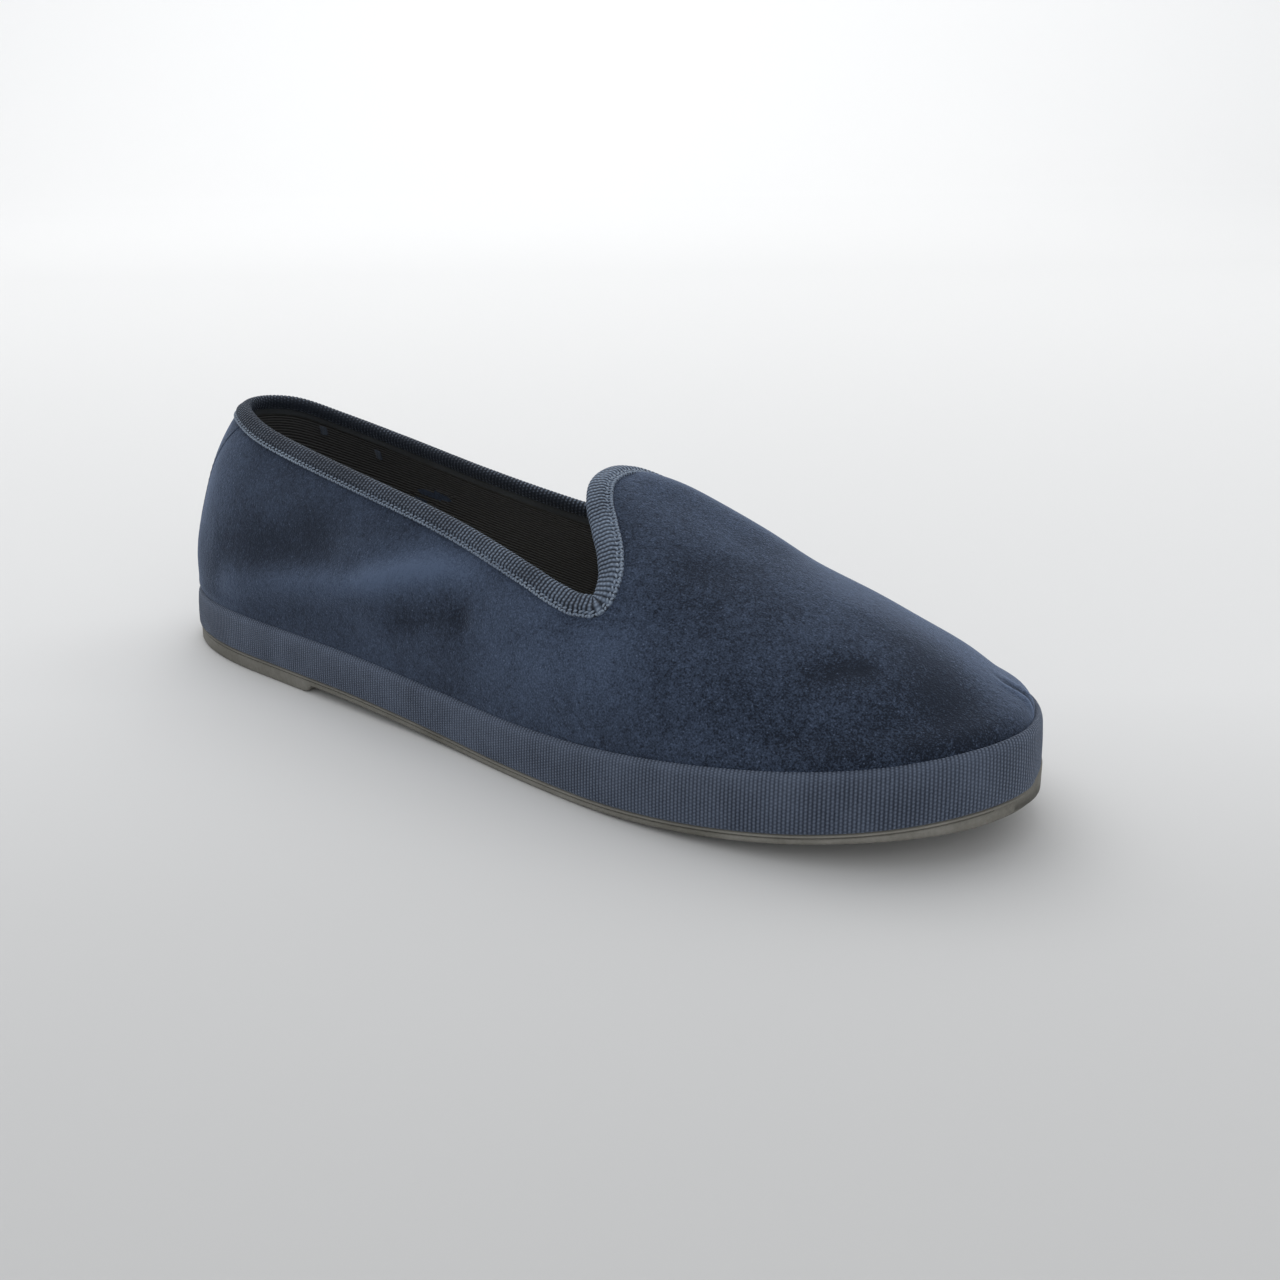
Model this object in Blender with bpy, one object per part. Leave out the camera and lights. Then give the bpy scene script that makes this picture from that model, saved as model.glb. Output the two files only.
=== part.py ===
"""A right velvet slip-on slipper with a scalloped vamp, built as its maker builds it.

The toe points along +X, +Y is the inner (medial) side and +Z is up. Lengths are in metres.
The last is one function: the sole's outline carried up and in to a ridge over the instep.
Every cloth piece takes its place from that function, so the pieces follow the last together.
"""

import bmesh
import bpy
import numpy as np

# Driving sizes of the last and the sole
SHOE_LENGTH = 0.255
BALL_WIDTH = 0.0875
HEEL_END_RADIUS = 0.0267
TOE_END_RADIUS = 0.0205
HEEL_COLLAR_HEIGHT = 0.0675
INSTEP_HEIGHT = 0.0660
TOE_SPRING = 0.0101
HEEL_PITCH = 0.0022

# Driving sizes of the layers
OUTSOLE_THICKNESS = 0.0014
OUTSOLE_INSET = 0.0004
OUTSOLE_CHAMFER = 0.0005
HEEL_STEP_RUN = 0.0016
FLANGE_THICKNESS = 0.0005
PLATFORM_THICKNESS = 0.0078
BAND_HEIGHT = 0.0136
BAND_THICKNESS = 0.0016
BAND_EDGE_ROUND = 0.0007
BAND_LIP_DROP = 0.0017
UPPER_WALL = 0.0020
INSOLE_THICKNESS = 0.0025
INSOLE_BEVEL = 0.0016
INSOLE_GAP = 0.0009
BINDING_LEG = 0.0040
BINDING_THICKNESS = 0.0009
STRIP_THICKNESS = 0.0008
STRIP_HALF_WIDTH_TOP = 0.0170
STRIP_HALF_WIDTH_FOOT = 0.0130
COUNTER_SWELL = 0.0012
FIT_GAP = 0.0003

# How far the spine of the last stops short of its toe and heel
TOE_SPINE_INSET = 0.045
HEEL_SPINE_INSET = 0.034
TOE_SPINE_FROM = 0.55
HEEL_SPINE_FROM = 0.35

# Stations are shares of the length, from the back of the heel to the tip of the toe
HEEL_FRONT = 0.265
PITCH_FROM, PITCH_TO = 0.30, 0.56
SPRING_FROM = 0.62

# Half-widths from the straight axis, as shares of the ball width
OUTLINE = (
    # station, lateral, medial
    (0.05, 0.248, 0.254),
    (0.12, 0.326, 0.347),
    (0.22, 0.360, 0.370),
    (0.35, 0.391, 0.354),
    (0.48, 0.425, 0.382),
    (0.60, 0.475, 0.461),
    (0.70, 0.500, 0.499),
    (0.80, 0.480, 0.489),
    (0.88, 0.417, 0.441),
    (0.95, 0.288, 0.311),
)

# Height of the last's ridge over the floor, as shares of the instep height
RIDGE = (
    # station, height
    (0.000, 1.190),
    (0.250, 1.100),
    (0.480, 1.020),
    (0.575, 0.995),
    (0.660, 0.895),
    (0.760, 0.760),
    (0.860, 0.655),
    (0.930, 0.612),
    (1.000, 0.560),
)

# Height of the ribbon band, which stands up as a lip at the toe, as shares of its full height
BAND_RISE = (
    # station, share
    (0.00, 0.770),
    (0.25, 0.765),
    (0.45, 0.765),
    (0.56, 0.790),
    (0.63, 0.840),
    (0.69, 0.905),
    (0.75, 0.960),
    (0.81, 0.990),
    (0.87, 1.000),
    (1.00, 0.985),
)

# The collar along the quarter: heights over the floor as shares of the heel collar height
COLLAR = (
    # station, lateral, medial
    (0.000, 1.000, 1.000),
    (0.040, 0.987, 0.985),
    (0.120, 0.943, 0.915),
    (0.200, 0.902, 0.860),
    (0.320, 0.842, 0.785),
    (0.420, 0.788, 0.722),
    (0.500, 0.735, 0.675),
    (0.560, 0.692, 0.650),
)

# The throat, from the bottom of the notch to the tab: roll is 0 on the ridge and 1 at the sole
THROAT = (
    # station, roll
    (0.604, 0.560),
    (0.630, 0.550),
    (0.647, 0.515),
    (0.646, 0.450),
    (0.634, 0.375),
    (0.614, 0.300),
    (0.590, 0.205),
    (0.577, 0.110),
    (0.574, 0.000),
)

# Which station of the sole's edge each part of the collar is drawn down to
NOTCH_FOOT_STATION = 0.80

# Mesh density
OUTLINE_STEPS = 44
LOOP_COLUMNS = (22, 28)
COLUMN_EASE = 0.5
QUARTER_GUIDES = 24
FOOT_OUTLINE_STEPS = 600
STRIP_LOOP_COLUMNS = (22, 150)
WALL_ROWS = 9
WALL_ROW_EASE = 1.5
STRIP_COLUMNS = 14
STRIP_ROWS = 8
BINDING_LEG_ROWS = 2
BINDING_ARC_ROWS = 3
WALK_STEPS = 6

LATERAL, MEDIAL = -1, 1
TOE_X = SHOE_LENGTH / 2
HEEL_X = -SHOE_LENGTH / 2


def smooth(stations, values, at):
    """A smooth curve through the given values, read at other stations."""
    stations = np.asarray(stations, float)
    values = np.asarray(values, float)
    slopes = np.gradient(values, stations)
    i = np.clip(np.searchsorted(stations, at) - 1, 0, len(stations) - 2)
    step = stations[i + 1] - stations[i]
    t = (at - stations[i]) / step
    start = (2 * t**3 - 3 * t**2 + 1) * values[i] + (t**3 - 2 * t**2 + t) * step * slopes[i]
    end = (3 * t**2 - 2 * t**3) * values[i + 1] + (t**3 - t**2) * step * slopes[i + 1]
    return start + end


def station_of(x):
    """Share of the length at a place along X."""
    return np.clip((x - HEEL_X) / SHOE_LENGTH, 0.0, 1.0)


def x_of(station):
    """Place along X of a share of the length."""
    return HEEL_X + station * SHOE_LENGTH


def half_width(x, side):
    """Half-width of the outline: a table times the sine that rounds both ends."""
    column = 1 if side == LATERAL else 2
    angles = np.arccos(1 - 2 * np.array([row[0] for row in OUTLINE]))
    swells = np.array([row[column] for row in OUTLINE]) * BALL_WIDTH / np.sin(angles)
    ends = np.sqrt(np.array([HEEL_END_RADIUS, TOE_END_RADIUS]) * SHOE_LENGTH / 2)
    angles = np.concatenate([[0.0], angles, [np.pi]])
    swells = np.concatenate([ends[:1], swells, ends[1:]])
    angle = np.arccos(1 - 2 * station_of(x))
    return np.sin(angle) * smooth(angles, swells, angle)


def sole_line(x):
    """Underside of the sole without its heel step: pitched at the heel, sprung at the toe."""
    s = station_of(x)
    drop = np.clip((s - PITCH_FROM) / (PITCH_TO - PITCH_FROM), 0, 1)
    pitch = HEEL_PITCH * (1 - drop * drop * (3 - 2 * drop))
    lift = np.clip((s - SPRING_FROM) / (1 - SPRING_FROM), 0, 1)
    return pitch + TOE_SPRING * lift**2


def midsole_foot(x):
    """Underside of the midsole."""
    return sole_line(x) + OUTSOLE_THICKNESS + FIT_GAP


def platform_top(x):
    """Top of the midsole, which carries the upper and the insole."""
    return midsole_foot(x) + PLATFORM_THICKNESS


def upper_foot(x):
    """Height at which the upper's edge stands on the midsole."""
    return platform_top(x) + FIT_GAP


def band_height(x):
    """Height of the ribbon band from its foot to its lip."""
    rows = np.array(BAND_RISE)
    return BAND_HEIGHT * smooth(rows[:, 0], rows[:, 1], station_of(x))


def band_top(x):
    """Top edge of the ribbon band."""
    return midsole_foot(x) + FLANGE_THICKNESS + FIT_GAP + band_height(x)


UPPER_INSET = BAND_THICKNESS + FIT_GAP


def ridge_height(x):
    """Height of the last's ridge over the floor."""
    rows = np.array(RIDGE)
    return INSTEP_HEIGHT * smooth(rows[:, 0], rows[:, 1], station_of(x))


def outline_stations():
    """Places along X, toe first, close together at the round ends, with both edges of the heel step."""
    angles = np.linspace(0, np.pi, OUTLINE_STEPS + 1)
    x = TOE_X * np.cos(angles)
    step = x_of(HEEL_FRONT)
    clear = np.abs(x - step - HEEL_STEP_RUN / 2) > HEEL_STEP_RUN
    x = np.concatenate([x[clear], [step, step + HEEL_STEP_RUN]])
    return np.sort(x)[::-1]


def outline_ring(inset):
    """The outline moved in by an inset: lateral side from toe to heel, then medial side back."""
    x = outline_stations()
    lateral = np.column_stack([x, -half_width(x, LATERAL)])
    medial = np.column_stack([x, half_width(x, MEDIAL)])[::-1][1:-1]
    ring = np.vstack([lateral, medial])
    along = np.roll(ring, -1, axis=0) - np.roll(ring, 1, axis=0)
    inward = np.column_stack([along[:, 1], -along[:, 0]])
    inward /= np.linalg.norm(inward, axis=1)[:, None]
    return ring - inward * inset * turn_of(ring)


def turn_of(ring):
    """+1 where a closed ring runs anticlockwise seen from above, -1 where it runs clockwise."""
    x, y = ring[:, 0], ring[:, 1]
    area = np.sum(x * np.roll(y, -1) - np.roll(x, -1) * y)
    return np.sign(area)


def make_material(name, colour, roughness):
    """A plain dielectric in the piece's own colour."""
    material = bpy.data.materials.new(name)
    material.use_nodes = True
    shader = material.node_tree.nodes["Principled BSDF"]
    shader.inputs["Base Color"].default_value = (*colour, 1.0)
    shader.inputs["Roughness"].default_value = roughness
    shader.inputs["Metallic"].default_value = 0.0
    return material


def add_piece(name, points, faces, material):
    """Makes one closed, smooth-shaded object with its faces pointing out."""
    mesh = bpy.data.meshes.new(name)
    mesh.from_pydata([tuple(p) for p in points], [], [tuple(f) for f in faces])
    work = bmesh.new()
    work.from_mesh(mesh)
    bmesh.ops.recalc_face_normals(work, faces=work.faces)
    work.to_mesh(mesh)
    work.free()
    mesh.shade_smooth()
    mesh.set_sharp_from_angle(angle=np.radians(35))
    mesh.materials.append(material)
    piece = bpy.data.objects.new(name, mesh)
    bpy.context.scene.collection.objects.link(piece)
    return piece


def side_faces(rows, columns, closed_rows=False, closed_columns=True, first=0):
    """Quads of a grid whose point (row, column) has the index first + row * columns + column."""
    faces = []
    for row in range(rows if closed_rows else rows - 1):
        above = (row + 1) % rows
        for column in range(columns if closed_columns else columns - 1):
            beside = (column + 1) % columns
            faces.append(
                (
                    first + row * columns + column,
                    first + row * columns + beside,
                    first + above * columns + beside,
                    first + above * columns + column,
                )
            )
    return faces


def cap_faces(first, count):
    """Rungs across a closed outline ring, joining points of the two sides at the same station."""
    half = count // 2
    faces = []
    for i in range(half):
        a, b = first + i, first + i + 1
        d, c = first + (count - i) % count, first + count - i - 1
        corners = [a, b, c, d]
        faces.append([v for k, v in enumerate(corners) if v not in corners[:k]])
    return faces


def make_plate(name, levels, material):
    """A closed slab from outline rings, bottom first. Each level is an inset and a height function."""
    points, count = [], 0
    for inset, height in levels:
        ring = outline_ring(inset)
        count = len(ring)
        points.append(np.column_stack([ring, height(ring[:, 0])]))
    faces = side_faces(len(levels), count)
    faces += cap_faces(0, count)
    faces += cap_faces((len(levels) - 1) * count, count)
    return add_piece(name, np.vstack(points), faces, material)


def outsole_bottom(x):
    """Tread face: flat under the heel as far as its step, then the sole line."""
    return np.where(x <= x_of(HEEL_FRONT) + HEEL_STEP_RUN / 4, 0.0, sole_line(x))


def make_outsole(material):
    """Thin rubber with a shallow heel lift moulded in and a small chamfer at the tread."""
    edge = OUTSOLE_INSET
    levels = (
        (edge + OUTSOLE_CHAMFER, outsole_bottom),
        (edge, lambda x: outsole_bottom(x) + OUTSOLE_CHAMFER),
        (edge, lambda x: sole_line(x) + OUTSOLE_THICKNESS),
    )
    return make_plate("outsole", levels, material)


def make_midsole(material):
    """The platform, with a thin flange at its foot that the ribbon band stands on."""
    flange = OUTSOLE_INSET / 2
    core = BAND_THICKNESS + FIT_GAP
    levels = (
        (flange, midsole_foot),
        (flange, lambda x: midsole_foot(x) + FLANGE_THICKNESS),
        (core, lambda x: midsole_foot(x) + FLANGE_THICKNESS),
        (core, platform_top),
    )
    return make_plate("midsole", levels, material)


def make_insole(material):
    """The sock, inside the foot of the upper."""
    inset = UPPER_INSET + UPPER_WALL + INSOLE_GAP
    levels = (
        (inset, upper_foot),
        (inset + INSOLE_BEVEL / 2, lambda x: upper_foot(x) + INSOLE_THICKNESS / 2),
        (inset + INSOLE_BEVEL, lambda x: upper_foot(x) + INSOLE_THICKNESS),
    )
    return make_plate("insole", levels, material)


def make_sole_band(material):
    """The ribbon round the platform: a closed strip whose top edge stands up round the upper."""
    edge = BAND_EDGE_ROUND
    profile = (
        # inset, share of the band's height, and how far above that
        (edge / 2, 0, 0.0),
        (0.0, 0, edge),
        (0.0, 1, -BAND_LIP_DROP),
        (edge / 3, 1, -BAND_LIP_DROP * 0.4),
        (edge, 1, 0.0),
        (BAND_THICKNESS - edge / 2, 1, 0.0),
        (BAND_THICKNESS, 1, -edge / 2),
        (BAND_THICKNESS, 0, 0.0),
    )
    points, count = [], 0
    for inset, share, above in profile:
        ring = outline_ring(inset)
        count = len(ring)
        foot = midsole_foot(ring[:, 0]) + FLANGE_THICKNESS + FIT_GAP
        height = foot + share * band_height(ring[:, 0]) + above
        points.append(np.column_stack([ring, height]))
    faces = side_faces(len(profile), count, closed_rows=True)
    return add_piece("sole_band", np.vstack(points), faces, material)


def spine_x(x):
    """Where the spine is that a place on the outline is drawn towards."""
    s = station_of(x)
    toe = np.clip((s - TOE_SPINE_FROM) / (1 - TOE_SPINE_FROM), 0, 1)
    heel = np.clip((HEEL_SPINE_FROM - s) / HEEL_SPINE_FROM, 0, 1)
    return x - TOE_SPINE_INSET * toe**2 + HEEL_SPINE_INSET * heel**2


def outline_x(chart_x, roll):
    """The outline's place whose line to the spine passes chart_x at this roll."""
    away = 1 - roll
    toe_from, heel_from = x_of(TOE_SPINE_FROM), x_of(HEEL_SPINE_FROM)
    x = chart_x.copy()
    for start, end, inset, sign in (
        (toe_from, TOE_X, TOE_SPINE_INSET, 1),
        (heel_from, HEEL_X, HEEL_SPINE_INSET, -1),
    ):
        run = abs(end - start)
        past = np.maximum(sign * (chart_x - start), 0)
        root = np.sqrt(np.maximum(run**2 - 4 * away * inset * past, 0))
        share = np.minimum(2 * past / (run + root), 1)
        x = np.where(past > 0, start + sign * run * share, x)
    return x


def foot_outline(side):
    """The outline of one side moved in to clear the ribbon band: places along X and half-widths."""
    x = TOE_X * np.cos(np.linspace(np.pi, 0, FOOT_OUTLINE_STEPS + 1))
    edge = np.column_stack([x, half_width(x, side)])
    along = np.gradient(edge, axis=0)
    along[[0, -1]] = ((0, 1), (0, -1))
    along /= np.linalg.norm(along, axis=1)[:, None]
    return edge[:, 0] + along[:, 1] * UPPER_INSET, np.maximum(edge[:, 1] - along[:, 0] * UPPER_INSET, 0)


FOOT_OUTLINES = {side: foot_outline(side) for side in (LATERAL, MEDIAL)}


def upper_half_width(x, side):
    """Half-width of the upper's foot, inside the ribbon band."""
    return np.interp(x, *FOOT_OUTLINES[side], left=0, right=0)


def chart_of(x, roll, side):
    """The flat chart of the last: a plan whose walls are rolled out evenly from foot to ridge."""
    q = spine_x(x)
    return np.column_stack([q + (x - q) * roll, side * upper_half_width(x, side) * roll])


def last_surface(chart):
    """Points of the last over its flat chart."""
    side = np.where(chart[:, 1] >= 0, MEDIAL, LATERAL)
    width = np.abs(chart[:, 1])

    def reach(x):
        return np.where(side == MEDIAL, upper_half_width(x, MEDIAL), upper_half_width(x, LATERAL))

    low, high = np.zeros(len(chart)), np.ones(len(chart))
    for _ in range(44):
        roll = (low + high) / 2
        wide = roll * reach(outline_x(chart[:, 0], roll)) > width
        high = np.where(wide, roll, high)
        low = np.where(wide, low, roll)
    roll = (low + high) / 2
    x = outline_x(chart[:, 0], roll)
    across, rise = np.sin(roll * np.pi / 2), np.cos(roll * np.pi / 2)
    q = spine_x(x)
    px, py = q + (x - q) * across, side * reach(x) * across
    foot = upper_foot(px)
    pz = foot + (ridge_height(px) - foot) * rise
    lip = band_top(px)
    swell = COUNTER_SWELL * np.sin(np.pi * np.clip((pz - lip) / (HEEL_COLLAR_HEIGHT - lip), 0, 1)) * roll**2
    outward = np.column_stack([x - q, side * reach(x)])
    outward /= np.maximum(np.linalg.norm(outward, axis=1), 1e-9)[:, None]
    return np.column_stack([px + outward[:, 0] * swell, py + outward[:, 1] * swell, pz])


PROBE = 0.00005


def last_slopes(chart):
    """Points of the last with its two tangents and its outward normal."""
    east, north = np.array([PROBE, 0]), np.array([0, PROBE])
    point = last_surface(chart)
    along = (last_surface(chart + east) - last_surface(chart - east)) / (2 * PROBE)
    across = (last_surface(chart + north) - last_surface(chart - north)) / (2 * PROBE)
    normal = np.cross(along, across)
    return point, along, across, normal / np.linalg.norm(normal, axis=1)[:, None]


def wall_roll(x, height):
    """How far the wall at this outline place has rolled in where it reaches a height."""
    roll = np.full(len(x), 0.7)
    q = spine_x(x)
    for _ in range(30):
        px = q + (x - q) * np.sin(roll * np.pi / 2)
        foot = upper_foot(px)
        rise = np.clip((height - foot) / (ridge_height(px) - foot), 0, 1)
        roll = np.arccos(rise) / (np.pi / 2)
    return roll


def cut_lengths(points):
    """Distance along a line of points, from its first."""
    steps = np.linalg.norm(np.diff(points, axis=0), axis=1)
    return np.concatenate([[0.0], np.cumsum(steps)])


def collar_guides(side):
    """Chart places of the collar's guide points on one side, from the tab round to the heel."""
    throat = np.array(THROAT)[::-1]
    quarter = np.array(COLLAR)
    column = 1 if side == LATERAL else 2
    angles = np.linspace(np.arccos(1 - 2 * quarter[-1, 0]), 0, QUARTER_GUIDES)
    stations = (1 - np.cos(angles)) / 2
    heights = HEEL_COLLAR_HEIGHT * smooth(quarter[:, 0], quarter[:, column], stations)
    x = x_of(stations) * (1 - UPPER_INSET / TOE_X)
    top = chart_of(x_of(throat[:, 0]), throat[:, 1], side)
    return np.vstack([top, chart_of(x, wall_roll(x, heights), side)])


def collar_line(side, columns):
    """Chart places of the collar on one side, evenly set along the throat and along the quarter."""
    guides = collar_guides(side)
    mirrored = guides * [1, -1]
    around = np.vstack([mirrored[2:0:-1], guides, mirrored[-2:-4:-1]])
    knots = cut_lengths(around)
    fine = np.linspace(knots[2], knots[len(guides) + 1], 400)
    line = np.column_stack([smooth(knots, around[:, k], fine) for k in (0, 1)])
    line[0, 1] = line[-1, 1] = 0.0
    length = cut_lengths(last_surface(line))
    notch = np.interp(knots[2 + len(THROAT) - 1], fine, length)
    at = graded(columns, notch, length[-1])
    return np.column_stack([np.interp(at, length, line[:, k]) for k in (0, 1)])


def graded(columns, first_part, whole):
    """Distances evenly set over the first part, then close together at both ends of the rest."""
    fine, coarse = columns
    start = np.linspace(0, first_part, fine + 1)
    even = np.arange(1, coarse + 1) / coarse
    eased = even - COLUMN_EASE * np.sin(2 * np.pi * even) / (2 * np.pi)
    return np.concatenate([start, first_part + (whole - first_part) * eased])


def foot_line(side, columns):
    """Chart places along the upper's foot on one side, from the toe tip to the back of the heel."""
    angles = np.linspace(0, np.pi, FOOT_OUTLINE_STEPS + 1)
    x = (TOE_X - UPPER_INSET) * np.cos(angles)
    line = chart_of(x, np.ones(len(x)), side)
    line[0, 1] = line[-1, 1] = 0.0
    length = cut_lengths(line)
    notch = np.interp(-x_of(NOTCH_FOOT_STATION), -x, length)
    at = graded(columns, notch, length[-1])
    return np.column_stack([np.interp(at, length, line[:, k]) for k in (0, 1)])


def closed_loop(line_of, columns=LOOP_COLUMNS):
    """Both sides' lines joined to one loop: tab or toe, lateral side, heel, medial side."""
    lateral = line_of(LATERAL, columns)
    medial = line_of(MEDIAL, columns)
    return np.vstack([lateral, medial[::-1][1:-1]])


def level_normal(loop):
    """Outward normals of a loop, kept level."""
    along = np.roll(loop, -1, axis=0) - np.roll(loop, 1, axis=0)
    normal = np.column_stack([-along[:, 1], along[:, 0], np.zeros(len(loop))])
    normal *= -turn_of(loop)
    return normal / np.linalg.norm(normal, axis=1)[:, None]


def make_upper(material):
    """One hollow wall between the sole's edge and the collar, open underneath."""
    collar = closed_loop(collar_line)
    foot = closed_loop(foot_line)
    outer, inner = [], []
    for share in np.linspace(0, 1, WALL_ROWS + 1) ** WALL_ROW_EASE:
        chart = foot + (collar - foot) * share
        if share == 0:
            point = last_surface(chart)
            normal = level_normal(point)
        else:
            point, _, _, normal = last_slopes(chart)
        outer.append(point)
        inner.append(point - normal * UPPER_WALL)
    rows = outer + inner[::-1]
    faces = side_faces(len(rows), len(collar), closed_rows=True)
    return add_piece("upper", np.vstack(rows), faces, material)


def walk_down(chart, heading, distance):
    """Walks over the last from chart places, straight on along 3-D headings, for one distance."""
    step = distance / WALK_STEPS
    for _ in range(WALK_STEPS):
        _, along, across, _ = last_slopes(chart)
        aa, ab, bb = (np.sum(u * v, axis=1) for u, v in ((along, along), (along, across), (across, across)))
        ha, hb = np.sum(heading * along, axis=1), np.sum(heading * across, axis=1)
        det = aa * bb - ab * ab
        move = np.column_stack([(bb * ha - ab * hb) / det, (aa * hb - ab * ha) / det])
        reach = np.linalg.norm(along * move[:, :1] + across * move[:, 1:], axis=1)
        chart = chart + move * (step / reach)[:, None]
    return chart


def collar_frame(chart):
    """Points of the collar with the heading that leads down from it and the outward normal."""
    point, _, _, normal = last_slopes(chart)
    along = np.roll(point, -1, axis=0) - np.roll(point, 1, axis=0)
    down = np.cross(normal, along)
    down /= np.linalg.norm(down, axis=1)[:, None]
    return point, down, normal


def make_collar_binding(material):
    """A tape folded over the whole collar: a leg outside, a round fold and a leg inside."""
    collar = closed_loop(collar_line)
    point, down, normal = collar_frame(collar)
    near, far = FIT_GAP, FIT_GAP + BINDING_THICKNESS
    depths = np.linspace(1, 0, BINDING_LEG_ROWS + 1)
    legs = []
    for depth in depths:
        chart = walk_down(collar, down, BINDING_LEG * depth) if depth else collar
        legs.append(last_slopes(chart)[::3])

    def outside(offset):
        return [p + n * offset for p, n in legs]

    def inside(offset):
        return [p - n * (UPPER_WALL + offset) for p, n in legs]

    middle = point - normal * UPPER_WALL / 2

    def fold(offset):
        turns = np.linspace(0, np.pi, BINDING_ARC_ROWS + 2)[1:-1]
        half = UPPER_WALL / 2 + offset
        return [middle + normal * half * np.cos(t) - down * offset * 1.6 * np.sin(t) for t in turns]

    rows = outside(far) + fold(far) + inside(far)[::-1] + inside(near) + fold(near)[::-1] + outside(near)[::-1]
    faces = side_faces(len(rows), len(collar), closed_rows=True)
    return add_piece("collar_binding", np.vstack(rows), faces, material)


def near_heel(charts, points, distances):
    """Chart places at signed distances round a loop from the back of the heel, lateral ones negative."""
    length = cut_lengths(points)
    length -= length[len(points) // 2]
    return np.column_stack([np.interp(distances, length, charts[:, k]) for k in (0, 1)])


def strip_ends():
    """Chart places of the heel strip's foot and top, one for each of its columns."""
    spread = np.linspace(-1, 1, STRIP_COLUMNS + 1)
    collar = closed_loop(collar_line, STRIP_LOOP_COLUMNS)
    point, down, _ = collar_frame(collar)
    below = walk_down(collar, down, BINDING_LEG + 2 * FIT_GAP)
    top = near_heel(below, point, spread * STRIP_HALF_WIDTH_TOP)
    edge = closed_loop(foot_line, STRIP_LOOP_COLUMNS)
    foot = near_heel(edge, last_surface(edge), spread * STRIP_HALF_WIDTH_FOOT)
    return foot, top


def make_heel_strip(material):
    """The velvet panel up the back of the heel, between the band's lip and the binding."""
    foot, top = strip_ends()
    shares = strip_shares(foot, top)
    outer, inner = [], []
    for row in shares:
        point, _, _, normal = last_slopes(foot + (top - foot) * row[:, None])
        outer.append(point + normal * (FIT_GAP + STRIP_THICKNESS))
        inner.append(point + normal * FIT_GAP)
    rows, columns = len(shares), len(foot)
    points = np.vstack(outer + inner)
    first_inner = rows * columns
    faces = side_faces(rows, columns, closed_columns=False)
    faces += [face[::-1] for face in side_faces(rows, columns, closed_columns=False, first=first_inner)]
    rim = [c for c in range(columns)]
    rim += [r * columns + columns - 1 for r in range(1, rows)]
    rim += [(rows - 1) * columns + c for c in range(columns - 2, -1, -1)]
    rim += [r * columns for r in range(rows - 2, 0, -1)]
    for a, b in zip(rim, rim[1:] + rim[:1]):
        faces.append((a, b, first_inner + b, first_inner + a))
    return add_piece("heel_strip", points, faces, material)


def strip_shares(foot, top):
    """Shares of the way from foot to collar for each row and column of the heel strip."""
    share = np.linspace(0, 1, 200)
    low = []
    for a, b in zip(foot, top):
        points = last_surface(a + (b - a) * share[:, None])
        low.append(np.interp(band_top(points[0, 0]) + 2 * FIT_GAP, points[:, 2], share))
    low = np.array(low)
    return low + (1 - low) * np.linspace(0, 1, STRIP_ROWS + 1)[:, None]


def main():
    """Builds the slipper's seven pieces."""
    for leftover in list(bpy.data.objects):
        bpy.data.objects.remove(leftover, do_unlink=True)
    velvet = make_material("navy_velvet", (0.012, 0.020, 0.045), 0.9)
    strip_velvet = make_material("navy_velvet_strip", (0.014, 0.023, 0.050), 0.9)
    ribbon = make_material("navy_ribbon", (0.028, 0.040, 0.065), 0.7)
    tape = make_material("navy_tape", (0.030, 0.045, 0.070), 0.7)
    rubber = make_material("taupe_rubber", (0.075, 0.078, 0.062), 0.6)
    board = make_material("pale_board", (0.20, 0.18, 0.13), 0.8)
    sock = make_material("sock_cloth", (0.10, 0.10, 0.10), 0.9)
    make_outsole(rubber)
    make_midsole(board)
    make_sole_band(ribbon)
    make_insole(sock)
    make_upper(velvet)
    make_heel_strip(strip_velvet)
    make_collar_binding(tape)


if __name__ == "__main__":
    main()
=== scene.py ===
"""Looks of a right velvet slip-on slipper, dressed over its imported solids.

The shoe is described once, as a last: an outline in plan whose walls are carried up and in to a
ridge over the instep. Every cloth piece is worked out on a two-parameter grid over that last.
Lengths are in metres, the toe points along +X, +Y is the inner side of the foot and +Z is up.
"""

import logging
from dataclasses import dataclass, field
from enum import Enum
from typing import Callable, Dict, List, Optional, Sequence, Tuple, Union

import bpy
import numpy as np
from mathutils import Matrix, Vector


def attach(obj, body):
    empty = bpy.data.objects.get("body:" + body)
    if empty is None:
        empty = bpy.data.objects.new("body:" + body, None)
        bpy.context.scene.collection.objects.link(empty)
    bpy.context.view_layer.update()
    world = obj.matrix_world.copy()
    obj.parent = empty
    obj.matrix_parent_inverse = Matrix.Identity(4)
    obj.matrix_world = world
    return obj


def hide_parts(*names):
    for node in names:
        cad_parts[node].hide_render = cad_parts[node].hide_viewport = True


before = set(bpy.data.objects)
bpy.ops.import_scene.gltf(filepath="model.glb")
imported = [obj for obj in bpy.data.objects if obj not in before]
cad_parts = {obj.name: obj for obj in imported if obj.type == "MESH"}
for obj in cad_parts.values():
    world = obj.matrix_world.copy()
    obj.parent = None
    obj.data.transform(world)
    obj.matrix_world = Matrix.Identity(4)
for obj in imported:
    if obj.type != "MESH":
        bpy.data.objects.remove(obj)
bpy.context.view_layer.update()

LOG = logging.getLogger("slipper")
MM = 0.001
Array = np.ndarray
Table = Tuple[Tuple[float, ...], ...]
Point = Tuple[float, float, float]
Tree = bpy.types.NodeTree
Node = bpy.types.Node
Socket = bpy.types.NodeSocket
Material = bpy.types.Material
Piece = bpy.types.Object
# Rings of a slab: how far in each lies, and its height at places along X
Levels = Sequence[Tuple[float, Callable[[Array], Array]]]
# The point attribute that says how much paler or darker the cloth is made: partly its own tone, nap and wear,
# and partly painted light and shade
TONE_AND_PAINTED_LIGHT = "cloth_tone_and_painted_light"


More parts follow.
